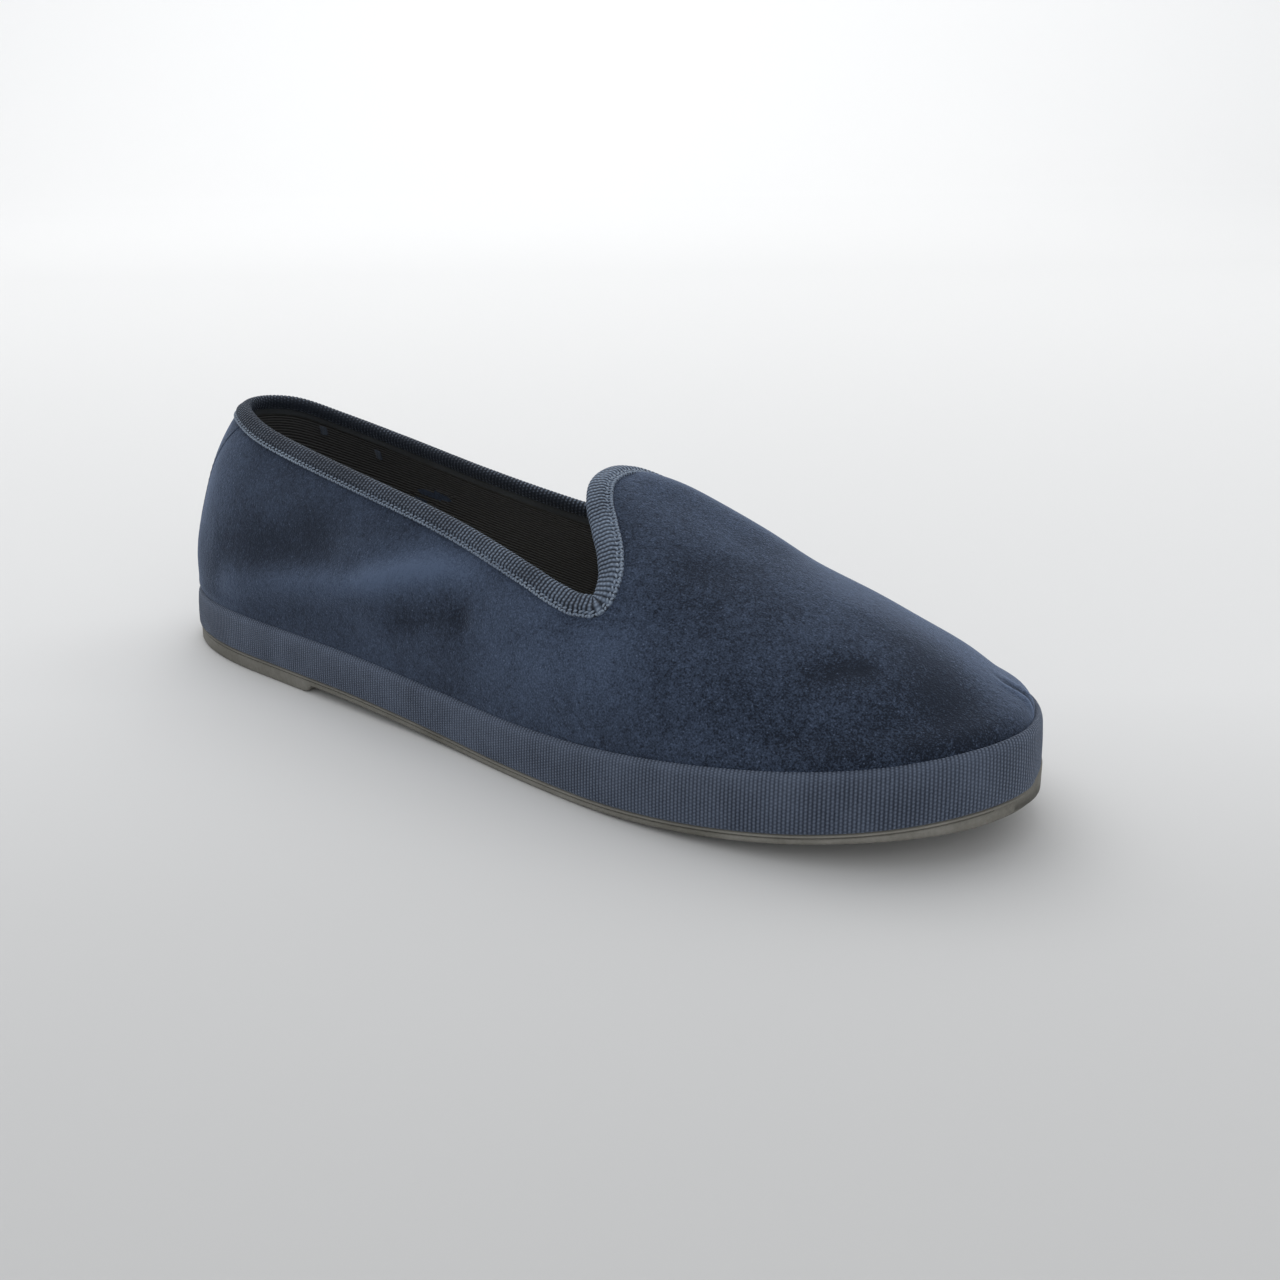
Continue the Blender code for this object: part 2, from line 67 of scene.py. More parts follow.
class Side(Enum):
    """The two sides of the foot, as signs of Y."""

    LATERAL = -1
    MEDIAL = 1


class Loop(Enum):
    """The two closed lines that the upper is drawn between."""

    FOOT = "foot"
    COLLAR = "collar"


def hermite(stations: Array, values: Array, at: Array) -> Array:
    """A smooth curve through given values.

    Args:
        stations: where the values are given, rising.
        values: the values there.
        at: where the curve is read.

    Returns:
        The curve's values, cubic between stations and with the stations' mean slopes.
    """
    stations, values = np.asarray(stations, float), np.asarray(values, float)
    slopes = np.gradient(values, stations)
    i = np.clip(np.searchsorted(stations, at) - 1, 0, len(stations) - 2)
    step = stations[i + 1] - stations[i]
    t = (at - stations[i]) / step
    start = (2 * t**3 - 3 * t**2 + 1) * values[i] + (t**3 - 2 * t**2 + t) * step * slopes[i]
    end = (3 * t**2 - 2 * t**3) * values[i + 1] + (t**3 - t**2) * step * slopes[i + 1]
    return start + end


def unit(vectors: Array) -> Array:
    """Rows scaled to length one."""
    return vectors / np.maximum(np.linalg.norm(vectors, axis=-1, keepdims=True), 1e-12)


def lengths_along(points: Array) -> Array:
    """Distance along a line of points, from its first."""
    return np.concatenate([[0.0], np.cumsum(np.linalg.norm(np.diff(points, axis=0), axis=1))])


def resample(line: Array, lengths: Array, at: Array) -> Array:
    """A line of points read at other distances along it."""
    return np.column_stack([np.interp(at, lengths, line[:, k]) for k in range(line.shape[1])])


@dataclass(frozen=True)
class Last:
    """The shape that every piece of the slipper follows, with the thicknesses of its sole.

    Tables hold stations as shares of the length from heel to toe, and sizes as shares of the
    named size beside them.
    """

    length: float = 0.255
    ball_width: float = 0.0875
    heel_radius: float = 0.0267
    toe_radius: float = 0.0205
    collar_height: float = 0.0675
    instep: float = 0.0660
    toe_spring: float = 0.0101
    heel_pitch: float = 0.0022
    outsole: float = 0.0014
    gap: float = 0.0003
    flange: float = 0.0005
    platform: float = 0.0078
    band_height: float = 0.0136
    band_thickness: float = 0.0016
    wall: float = 0.0020
    swell: float = 0.0012
    spring_from: float = 0.62
    pitch_from: float = 0.30
    pitch_to: float = 0.56
    heel_front: float = 0.265
    toe_spine: float = 0.045
    toe_spine_from: float = 0.55
    heel_spine: float = 0.034
    heel_spine_from: float = 0.35
    notch_foot: float = 0.80
    outline: Table = (
        # station, lateral, medial half-widths as shares of the ball width
        (0.05, 0.248, 0.254),
        (0.12, 0.326, 0.347),
        (0.22, 0.360, 0.370),
        (0.35, 0.391, 0.354),
        (0.48, 0.425, 0.382),
        (0.60, 0.475, 0.461),
        (0.70, 0.500, 0.499),
        (0.80, 0.480, 0.489),
        (0.88, 0.417, 0.441),
        (0.95, 0.288, 0.311),
    )
    ridge: Table = (
        # station, height over the floor as a share of the instep
        (0.000, 1.190),
        (0.250, 1.100),
        (0.480, 1.020),
        (0.575, 0.995),
        (0.660, 0.895),
        (0.760, 0.760),
        (0.860, 0.655),
        (0.930, 0.612),
        (1.000, 0.560),
    )
    collar: Table = (
        # station, lateral, medial heights as shares of the collar height
        (0.000, 1.000, 1.000),
        (0.040, 0.987, 0.985),
        (0.120, 0.943, 0.915),
        (0.200, 0.902, 0.860),
        (0.320, 0.842, 0.785),
        (0.420, 0.788, 0.722),
        (0.500, 0.735, 0.675),
        (0.560, 0.692, 0.650),
    )
    band_rise: Table = (
        # station, height of the band as a share of its full height
        (0.00, 0.770),
        (0.25, 0.765),
        (0.45, 0.765),
        (0.56, 0.790),
        (0.63, 0.840),
        (0.69, 0.905),
        (0.75, 0.960),
        (0.81, 0.990),
        (0.87, 1.000),
        (1.00, 0.985),
    )
    throat: Table = (
        # station, roll from the ridge (0) to the sole (1)
        (0.604, 0.560),
        (0.630, 0.550),
        (0.647, 0.515),
        (0.646, 0.450),
        (0.634, 0.375),
        (0.614, 0.300),
        (0.590, 0.205),
        (0.577, 0.110),
        (0.574, 0.000),
    )

    @property
    def toe(self) -> float:
        """Place of the toe's tip along X; the heel's back is as far behind."""
        return self.length / 2

    @property
    def inset(self) -> float:
        """How far inside the sole's outline the upper stands."""
        return self.band_thickness + self.gap

    def station(self, x: Array) -> Array:
        """Share of the length at a place along X."""
        return np.clip(x / self.length + 0.5, 0.0, 1.0)

    def place(self, station: Array) -> Array:
        """Place along X of a share of the length."""
        return (np.asarray(station) - 0.5) * self.length

    def half_width(self, x: Array, side: Side) -> Array:
        """Half-width of the sole's outline: a table of swells times the sine that rounds both ends.

        Args:
            x: places along X.
            side: lateral or medial.

        Returns:
            The half-widths there.
        """
        column = 1 if side is Side.LATERAL else 2
        rows = np.array(self.outline)
        angles = np.arccos(1 - 2 * rows[:, 0])
        swells = rows[:, column] * self.ball_width / np.sin(angles)
        heel, toe = np.sqrt(np.array([self.heel_radius, self.toe_radius]) * self.length / 2)
        angle = np.arccos(1 - 2 * self.station(x))
        curve = hermite(np.r_[0.0, angles, np.pi], np.r_[heel, swells, toe], angle)
        return np.sin(angle) * curve

    def sole_line(self, x: Array) -> Array:
        """Underside of the sole: pitched at the heel, flat at the ball and sprung at the toe.

        Args:
            x: places along X.

        Returns:
            Heights over the floor: a smooth step down behind the ball and a square rise before it.
        """
        s = self.station(x)
        drop = np.clip((s - self.pitch_from) / (self.pitch_to - self.pitch_from), 0, 1)
        lift = np.clip((s - self.spring_from) / (1 - self.spring_from), 0, 1)
        return self.heel_pitch * (1 - drop * drop * (3 - 2 * drop)) + self.toe_spring * lift**2

    def midsole_foot(self, x: Array) -> Array:
        """Underside of the platform."""
        return self.sole_line(x) + self.outsole + self.gap

    def upper_foot(self, x: Array) -> Array:
        """Height at which the upper stands on the platform."""
        return self.midsole_foot(x) + self.platform + self.gap

    def band_foot(self, x: Array) -> Array:
        """Lower edge of the ribbon band."""
        return self.midsole_foot(x) + self.flange + self.gap

    def band_top(self, x: Array) -> Array:
        """Upper edge of the ribbon band."""
        rows = np.array(self.band_rise)
        return self.band_foot(x) + self.band_height * hermite(rows[:, 0], rows[:, 1], self.station(x))

    def ridge_height(self, x: Array) -> Array:
        """Height of the last's ridge over the floor."""
        rows = np.array(self.ridge)
        return self.instep * hermite(rows[:, 0], rows[:, 1], self.station(x))

    def ring(self, inset: float, steps: int) -> Array:
        """The outline as a closed ring moved in by an inset.

        Args:
            inset: how far in, square to the outline.
            steps: points on each side of the shoe.

        Returns:
            Points in plan, lateral side from toe to heel and medial side back.
        """
        angles = np.linspace(0, np.pi, steps + 1)
        x = self.toe * np.cos(angles)
        lateral = np.column_stack([x, -self.half_width(x, Side.LATERAL)])
        medial = np.column_stack([x, self.half_width(x, Side.MEDIAL)])[::-1][1:-1]
        ring = np.vstack([lateral, medial])
        along = unit(np.roll(ring, -1, axis=0) - np.roll(ring, 1, axis=0))
        return ring + np.column_stack([along[:, 1], -along[:, 0]]) * inset

    def foot_outline(self, side: Side) -> Tuple[Array, Array]:
        """One side of the outline moved in, square to itself, to clear the band.

        Args:
            side: lateral or medial.

        Returns:
            Places along X, and the half-widths there.
        """
        x = self.toe * np.cos(np.linspace(np.pi, 0, 601))
        edge = np.column_stack([x, self.half_width(x, side)])
        along = np.gradient(edge, axis=0)
        along[[0, -1]] = ((0, 1), (0, -1))
        along = unit(along)
        return edge[:, 0] + along[:, 1] * self.inset, np.maximum(edge[:, 1] - along[:, 0] * self.inset, 0)

    def spine(self, x: Array) -> Array:
        """Where the spine is that a place on the outline is drawn towards.

        Args:
            x: places of the outline along X.

        Returns:
            Places of the spine along X: straight across, and further in by a square at both ends.
        """
        s = self.station(x)
        toe = np.clip((s - self.toe_spine_from) / (1 - self.toe_spine_from), 0, 1)
        heel = np.clip((self.heel_spine_from - s) / self.heel_spine_from, 0, 1)
        return x - self.toe_spine * toe**2 + self.heel_spine * heel**2

    def outline_place(self, chart_x: Array, roll: Array) -> Array:
        """The outline's place whose line to the spine passes chart_x at this roll.

        Args:
            chart_x: places of the chart along X.
            roll: how far out each lies, from the spine (0) to the outline (1).

        Returns:
            Places of the outline along X, as the smaller root of the square that the spine follows.
        """
        x = chart_x.copy()
        ends = (
            (self.place(self.toe_spine_from), self.toe, self.toe_spine, 1),
            (self.place(self.heel_spine_from), -self.toe, self.heel_spine, -1),
        )
        for start, end, inset, sign in ends:
            run = abs(end - start)
            past = np.maximum(sign * (chart_x - start), 0)
            root = np.sqrt(np.maximum(run**2 - 4 * (1 - roll) * inset * past, 0))
            share = np.minimum(2 * past / (run + root), 1)
            x = np.where(past > 0, start + sign * run * share, x)
        return x


class LastSurface:
    """The last as a surface over a flat chart: its plan with the walls rolled out evenly."""

    def __init__(self, last: Last) -> None:
        """Keeps the last and its inset outlines."""
        self.last = last
        self.edges: Dict[Side, Tuple[Array, Array]] = {side: last.foot_outline(side) for side in Side}

    def reach(self, x: Array, medial: Array) -> Array:
        """Half-width of the upper's foot.

        Args:
            x: places along X.
            medial: whether each is read on the medial side.

        Returns:
            The half-widths, none past the ends.
        """
        wide = [np.interp(x, *self.edges[side], left=0, right=0) for side in (Side.MEDIAL, Side.LATERAL)]
        return np.where(medial, wide[0], wide[1])

    def chart(self, x: Array, roll: Array, side: Side) -> Array:
        """Chart places on the straight lines from the spine to the outline.

        Args:
            x: places of the outline along X.
            roll: how far out each lies, from the ridge (0) to the foot (1).
            side: lateral or medial.

        Returns:
            Chart places, one row each.
        """
        q = self.last.spine(x)
        reach = self.reach(x, np.full(np.shape(x), side is Side.MEDIAL))
        return np.column_stack([q + (x - q) * roll, side.value * reach * roll])

    def points(self, chart: Array) -> Array:
        """Points over chart places.

        The roll is found by halving, and the section there is a quarter of an ellipse from the
        upper's foot to the ridge, with a slight swell outwards between band and collar.

        Args:
            chart: places, one row each.

        Returns:
            Points, one row each.
        """
        last = self.last
        medial = chart[:, 1] >= 0
        sign, width = np.where(medial, 1, -1), np.abs(chart[:, 1])
        low, high = np.zeros(len(chart)), np.ones(len(chart))
        for _ in range(40):
            roll = (low + high) / 2
            wide = roll * self.reach(last.outline_place(chart[:, 0], roll), medial) > width
            high, low = np.where(wide, roll, high), np.where(wide, low, roll)
        roll = (low + high) / 2
        x = last.outline_place(chart[:, 0], roll)
        reach = self.reach(x, medial)
        across, rise = np.sin(roll * np.pi / 2), np.cos(roll * np.pi / 2)
        q = last.spine(x)
        px, py = q + (x - q) * across, sign * reach * across
        foot = last.upper_foot(px)
        pz = foot + (last.ridge_height(px) - foot) * rise
        lip = last.band_top(px)
        share = np.clip((pz - lip) / (last.collar_height - lip), 0, 1)
        swell = last.swell * np.sin(np.pi * share) * roll**2
        outward = unit(np.column_stack([x - q, sign * reach]))
        return np.column_stack([px + outward[:, 0] * swell, py + outward[:, 1] * swell, pz])

    def slopes(self, chart: Array) -> Tuple[Array, Array, Array, Array]:
        """The surface and its slopes, by central differences over the chart.

        Args:
            chart: places, one row each.

        Returns:
            Points, their two tangents over the chart and their outward normals.
        """
        near = 0.05 * MM
        east, north = np.array([near, 0]), np.array([0, near])
        point = self.points(chart)
        along = (self.points(chart + east) - self.points(chart - east)) / (2 * near)
        across = (self.points(chart + north) - self.points(chart - north)) / (2 * near)
        return point, along, across, unit(np.cross(along, across))

    def wall_roll(self, x: Array, height: Array) -> Array:
        """How far the wall has rolled in where it reaches a height, found by repeating the guess.

        Args:
            x: places of the outline along X.
            height: the height to reach at each.

        Returns:
            The rolls.
        """
        roll = np.full(len(x), 0.7)
        q = self.last.spine(x)
        for _ in range(30):
            px = q + (x - q) * np.sin(roll * np.pi / 2)
            foot = self.last.upper_foot(px)
            rise = np.clip((height - foot) / (self.last.ridge_height(px) - foot), 0, 1)
            roll = np.arccos(rise) / (np.pi / 2)
        return roll

    def collar_line(self, side: Side) -> Tuple[Array, float]:
        """The collar on one side, from the tab to the back of the heel.

        Args:
            side: lateral or medial.

        Returns:
            Chart places set closely along it, and the distance of the notch's start from the tab.
        """
        last = self.last
        throat, quarter = np.array(last.throat)[::-1], np.array(last.collar)
        angles = np.linspace(np.arccos(1 - 2 * quarter[-1, 0]), 0, 24)
        stations = (1 - np.cos(angles)) / 2
        column = 1 if side is Side.LATERAL else 2
        heights = last.collar_height * hermite(quarter[:, 0], quarter[:, column], stations)
        x = last.place(stations) * (1 - last.inset / last.toe)
        top = self.chart(last.place(throat[:, 0]), throat[:, 1], side)
        guides = np.vstack([top, self.chart(x, self.wall_roll(x, heights), side)])
        mirrored = guides * [1, -1]
        around = np.vstack([mirrored[2:0:-1], guides, mirrored[-2:-4:-1]])
        knots = lengths_along(around)
        fine = np.linspace(knots[2], knots[len(guides) + 1], 1200)
        line = np.column_stack([hermite(knots, around[:, k], fine) for k in (0, 1)])
        line[[0, -1], 1] = 0.0
        notch = np.interp(knots[len(throat) + 1], fine, lengths_along(self.points(line)))
        return line, float(notch)

    def foot_line(self, side: Side) -> Tuple[Array, float]:
        """The upper's foot on one side, from the toe's tip to the heel, as collar_line gives it."""
        last = self.last
        x = (last.toe - last.inset) * np.cos(np.linspace(0, np.pi, 1201))
        line = self.chart(x, np.ones(len(x)), side)
        line[[0, -1], 1] = 0.0
        return line, float(np.interp(-last.place(last.notch_foot), -x, lengths_along(line)))

    def loop(self, which: Loop, columns: Tuple[int, int], even: bool = False) -> Array:
        """A closed loop of chart places: tab or toe, lateral side, heel, medial side.

        Args:
            which: the collar or the upper's foot.
            columns: steps along the throat and along the quarter of each side.
            even: whether the steps are one length all the way round instead.

        Returns:
            Chart places, the first not repeated at the end.
        """
        sides = []
        for side in (Side.LATERAL, Side.MEDIAL):
            line, notch = self.collar_line(side) if which is Loop.COLLAR else self.foot_line(side)
            lengths = lengths_along(self.points(line) if which is Loop.COLLAR else line)
            throat = np.linspace(0, notch, columns[0] + 1)
            quarter = np.linspace(notch, lengths[-1], columns[1] + 1)[1:]
            at = np.linspace(0, lengths[-1], sum(columns) + 1) if even else np.r_[throat, quarter]
            sides.append(resample(line, lengths, at))
        return np.vstack([sides[0], sides[1][::-1][1:-1]])

    def frame_round(self, loop: Array) -> Tuple[Array, Array, Array]:
        """Reads the directions round a closed loop.

        Args:
            loop: its chart places.

        Returns:
            Its points, the headings square to it that lead down the wall, and the outward normals.
        """
        point, _, _, normal = self.slopes(loop)
        along = np.roll(point, -1, axis=0) - np.roll(point, 1, axis=0)
        return point, unit(np.cross(normal, along)), normal

    def walk(self, chart: Array, heading: Array, steps: Sequence[float]) -> List[Array]:
        """Walks over the last from chart places, straight on along headings.

        Args:
            chart: where each walk starts.
            heading: its direction in space.
            steps: the length of each step.

        Returns:
            The chart places after each step, the start first.
        """
        places = [chart]
        for step in steps:
            _, along, across, _ = self.slopes(chart)
            aa, bb = np.sum(along**2, axis=1), np.sum(across**2, axis=1)
            ab = np.sum(along * across, axis=1)
            ha, hb = np.sum(heading * along, axis=1), np.sum(heading * across, axis=1)
            move = np.column_stack([bb * ha - ab * hb, aa * hb - ab * ha]) / (aa * bb - ab**2)[:, None]
            reach = np.linalg.norm(along * move[:, :1] + across * move[:, 1:], axis=1)
            chart = chart + move * (step / reach)[:, None]
            places.append(chart)
        return places


def linear(code: str) -> Tuple[float, float, float, float]:
    """Turns an sRGB hex value to linear red, green, blue and an alpha of one."""
    raw = [int(code[i : i + 2], 16) / 255 for i in (1, 3, 5)]
    return tuple(v / 12.92 if v <= 0.04045 else ((v + 0.055) / 1.055) ** 2.4 for v in raw) + (1.0,)


def set_inputs(tree: Tree, node: Node, values: Dict[object, object]) -> None:
    """Sets inputs of a node, or links them.

    Args:
        tree: the material's tree.
        node: the node.
        values: input names or numbers, each with a constant, with the output socket that feeds
            it, or with a node whose first output does.
    """
    for key, value in values.items():
        source = value.outputs[0] if isinstance(value, Node) else value
        if isinstance(source, Socket):
            tree.links.new(source, node.inputs[key])
        else:
            node.inputs[key].default_value = source


def add_node(tree: Tree, kind: str, values: Optional[Dict[object, object]] = None, **options: object) -> Node:
    """Adds a node with its settings and links.

    Args:
        tree: the material's tree.
        kind: the node's type without its ShaderNode prefix.
        values: its inputs, as set_inputs takes them.
        options: properties of the node itself.

    Returns:
        The node.
    """
    node = tree.nodes.new("ShaderNode" + kind)
    for name, value in options.items():
        setattr(node, name, value)
    set_inputs(tree, node, values or {})
    return node


def new_material(name: str, base: Dict[object, object]) -> Tuple[Material, Node]:
    """Starts a finish.

    Args:
        name: the material's name.
        base: constants of its Principled shader.

    Returns:
        The material and its shader.
    """
    material = bpy.data.materials.new(name)
    material.use_nodes = True
    shader = material.node_tree.nodes["Principled BSDF"]
    set_inputs(material.node_tree, shader, base)
    return material, shader


def stripes(tree: Tree, coordinate: Union[Node, Socket], pitch: float) -> Node:
    """A wave along a coordinate: half of one plus the sine of its turns, a quarter turn late.

    Args:
        tree: the material's tree.
        coordinate: a length in metres.
        pitch: the length of one wave.

    Returns:
        A node whose value is 0 at whole pitches and 1 half way between them.
    """
    late = {0: coordinate, 1: 2 * np.pi / pitch, 2: -np.pi / 2}
    turns = add_node(tree, "Math", late, operation="MULTIPLY_ADD")
    wave = add_node(tree, "Math", {0: turns}, operation="SINE")
    return add_node(tree, "Math", {0: wave, 1: 0.5, 2: 0.5}, operation="MULTIPLY_ADD")


@dataclass(frozen=True)
class Velvet:
    """Cotton velvet: a short dense pile that is matt face on and pale at grazing angles."""

    name: str = "navy_cotton_velvet"
    deep: str = "#141a25"
    light: str = "#4f5d75"
    lint: str = "#76839a"
    bloom: str = "#a9bbdb"
    # The real pile is finer than 0.2 mm; it is drawn coarser so that it shows.
    pile_mm: float = 0.42
    tuft_mm: float = 1.4
    patch_mm: float = 24.0
    # How far pile, tufts, patches and the tone laid on the piece, partly nap and partly painted light and
    # shade, move the share of the light colour
    pile_share: float = 0.3
    tuft_share: float = 0.13
    patch_share: Tuple[float, float] = (0.13, 0.37)
    tone_gain: float = 0.75
    # The grains grow stronger between two places along X, from the quarters to the vamp
    ruffle_from: float = -0.03
    ruffle_to: float = 0.04
    ruffle: Tuple[float, float] = (0.75, 1.15)
    # The pile's noise shows as lint from the first value on, and fully at the second
    lint_span: Tuple[float, float] = (0.69, 0.78)
    lint_share: float = 0.7

    def material(self) -> Material:
        """Pile and tuft grain in colour and bump, slow patches where the pile lies over, and lint.

        The share of the light colour is the sum of the two grains times the ruffle, the patches
        and the tone laid on the piece, which is partly the nap and partly painted light and shade.

        Returns:
            The material.
        """
        material, shader = new_material(
            self.name,
            {
                "Roughness": 0.92,
                "Specular IOR Level": 0.15,
                "Sheen Weight": 0.6,
                "Sheen Roughness": 0.42,
                "Sheen Tint": linear(self.bloom),
            },
        )
        tree = material.node_tree
        place = add_node(tree, "TexCoord").outputs["Object"]
        grain = {"Vector": place, "Roughness": 0.65}
        pile, tuft, patch = (
            add_node(tree, "TexNoise", {**grain, "Scale": 1 / (size * MM), "Detail": detail})
            for size, detail in ((self.pile_mm, 2.0), (self.tuft_mm, 3.0), (self.patch_mm, 4.0))
        )
        fine, middling = (
            add_node(tree, "MapRange", {0: noise, 1: 0.3, 2: 0.7, 3: -share, 4: share}, clamp=False)
            for noise, share in ((pile, self.pile_share), (tuft, self.tuft_share))
        )
        low, high = self.patch_share
        slow = add_node(tree, "MapRange", {0: patch, 1: 0.34, 2: 0.66, 3: low, 4: high})
        grains = add_node(tree, "Math", {0: fine, 1: middling}, operation="ADD")
        split = add_node(tree, "SeparateXYZ", {0: place})
        weak, strong = self.ruffle
        span = {0: split, 1: self.ruffle_from, 2: self.ruffle_to, 3: weak, 4: strong}
        ruffled = add_node(tree, "MapRange", span)
        both = add_node(tree, "Math", {0: grains, 1: ruffled}, operation="MULTIPLY")
        # The laid tone is partly the pile's nap and partly painted highlight on crease ridges and painted
        # shade in the hollows
        tone_and_light_attr = add_node(tree, "Attribute", attribute_name=TONE_AND_PAINTED_LIGHT, attribute_type="GEOMETRY")
        tone = {0: tone_and_light_attr.outputs["Fac"], 1: self.tone_gain, 2: slow}
        patches_nap_and_painted_light = add_node(tree, "Math", tone, operation="MULTIPLY_ADD")
        share = add_node(tree, "Math", {0: both, 1: patches_nap_and_painted_light}, operation="ADD", use_clamp=True)
        pair = {0: share, 6: linear(self.deep), 7: linear(self.light)}
        cloth = add_node(tree, "Mix", pair, data_type="RGBA")
        first, full = self.lint_span
        specks = add_node(tree, "MapRange", {0: pile, 1: first, 2: full, 3: 0.0, 4: self.lint_share})
        pair = {0: specks, 6: cloth.outputs[2], 7: linear(self.lint)}
        dressed = add_node(tree, "Mix", pair, data_type="RGBA")
        bump = add_node(tree, "Bump", {"Strength": 0.8, "Distance": 0.22 * MM, "Height": pile})
        over = {"Strength": 0.35, "Distance": 0.5 * MM, "Height": tuft, "Normal": bump}
        waves = add_node(tree, "Bump", over)
        set_inputs(tree, shader, {"Base Color": dressed.outputs[2], "Normal": waves})
        return material


@dataclass(frozen=True)
class Grosgrain:
    """Grosgrain ribbon: thick cross ribs wrapped by fine threads, with a soft broken gloss."""

    name: str
    # The crest colour is painted highlight on the ribs' tops, the valley colour painted shade between them
    lit_crest: str
    shaded_valley: str
    rib_mm: float
    rib_share: float = 0.6
    # The real threads are near 0.25 mm; they are drawn coarser so that they show.
    thread_mm: float = 0.62
    bloom: str = "#b8c6dc"
    # The sum of beads, fibre, ribs and wear that takes the valley's colour, which is painted shade
    shade_from: float = 0.85

    def material(self) -> Material:
        """Valleys painted darker between the ribs as painted shade, threads as staggered beads on them
        painted paler as painted highlight, and a little wear.

        The beads are the ribs' wave times the threads' wave, which is half a thread late on
        every other rib. The share of the crest's colour, a painted highlight, grows with beads, fibre, ribs
        and wear, and the tone laid on the piece, its wear and painted light and shade, is added to it.

        Returns:
            The material.
        """
        material, shader = new_material(
            self.name,
            {
                "Roughness": 0.66,
                "Specular IOR Level": 0.28,
                "Sheen Weight": 0.3,
                "Sheen Roughness": 0.4,
                "Sheen Tint": linear(self.bloom),
            },
        )
        tree = material.node_tree
        cords = add_node(tree, "TexCoord")
        split = add_node(tree, "SeparateXYZ", {0: cords.outputs["UV"]})
        rib_pitch, thread_pitch = self.rib_mm * MM, self.thread_mm * MM
        rib = stripes(tree, split, rib_pitch)
        count = add_node(tree, "Math", {0: split, 1: 1 / rib_pitch}, operation="MULTIPLY")
        whole = add_node(tree, "Math", {0: count}, operation="FLOOR")
        late = {0: whole, 1: thread_pitch / 2, 2: split.outputs[1]}
        across = add_node(tree, "Math", late, operation="MULTIPLY_ADD")
        thread = stripes(tree, across, thread_pitch)
        grain = {"Vector": cords.outputs["Object"], "Detail": 3.0, "Roughness": 0.6}
        fibre, wear = (add_node(tree, "TexNoise", {**grain, "Scale": cells}) for cells in (2600.0, 90.0))
        beads = add_node(tree, "Math", {0: thread, 1: rib}, operation="MULTIPLY")
        height = add_node(tree, "Math", {0: beads, 1: 0.9, 2: fibre}, operation="MULTIPLY_ADD")
        lit = add_node(tree, "Math", {0: rib, 1: self.rib_share, 2: wear}, operation="MULTIPLY_ADD")
        fine = add_node(tree, "Math", {0: height, 1: lit}, operation="ADD")
        shade_to = self.shade_from + self.rib_share + 1.1
        share = add_node(tree, "MapRange", {0: fine, 1: self.shade_from, 2: shade_to, 3: 0.0, 4: 1.0})
        tone_and_light_attr = add_node(tree, "Attribute", attribute_name=TONE_AND_PAINTED_LIGHT, attribute_type="GEOMETRY")
        toned = add_node(tree, "Math", {0: tone_and_light_attr.outputs["Fac"], 1: share}, operation="ADD", use_clamp=True)
        pair = {0: toned, 6: linear(self.shaded_valley), 7: linear(self.lit_crest)}
        colour = add_node(tree, "Mix", pair, data_type="RGBA")
        bump = add_node(tree, "Bump", {"Strength": 0.8, "Distance": 0.2 * MM, "Height": height})
        set_inputs(tree, shader, {"Base Color": colour.outputs[2], "Normal": bump})
        return material


@dataclass(frozen=True)
class LiningCloth:
    """Woven lining: charcoal twill with fine ribs that run level round the shoe."""

    name: str = "charcoal_rib_lining"
    # The crest colour is painted highlight on the ribs, the valley colour painted shade between them
    lit_crest: str = "#5b5c5d"
    shaded_valley: str = "#2a2b2d"
    # The real ribs are finer; they are drawn coarser so that they show.
    rib_mm: float = 1.15

    def material(self) -> Material:
        """Level ribs in colour and bump over a fibre grain, both dark enough to stay in the shade; the ribs'
        paler crests are painted highlight and their darker valleys painted shade.

        Returns:
            The material.
        """
        material, shader = new_material(self.name, {"Roughness": 0.85, "Specular IOR Level": 0.25})
        tree = material.node_tree
        cords = add_node(tree, "TexCoord")
        split = add_node(tree, "SeparateXYZ", {0: cords.outputs["UV"]})
        rib = stripes(tree, split.outputs[1], self.rib_mm * MM)
        grain = {"Vector": cords.outputs["Object"], "Scale": 1500.0, "Detail": 2.0}
        fibre = add_node(tree, "TexNoise", grain)
        height = add_node(tree, "Math", {0: fibre, 1: 0.5, 2: rib}, operation="MULTIPLY_ADD")
        share = add_node(tree, "MapRange", {0: height, 1: 0.25, 2: 1.25, 3: 0.0, 4: 1.0})
        pair = {0: share, 6: linear(self.shaded_valley), 7: linear(self.lit_crest)}
        colour = add_node(tree, "Mix", pair, data_type="RGBA")
        bump = add_node(tree, "Bump", {"Strength": 0.7, "Distance": 0.25 * MM, "Height": height})
        set_inputs(tree, shader, {"Base Color": colour.outputs[2], "Normal": bump})
        return material


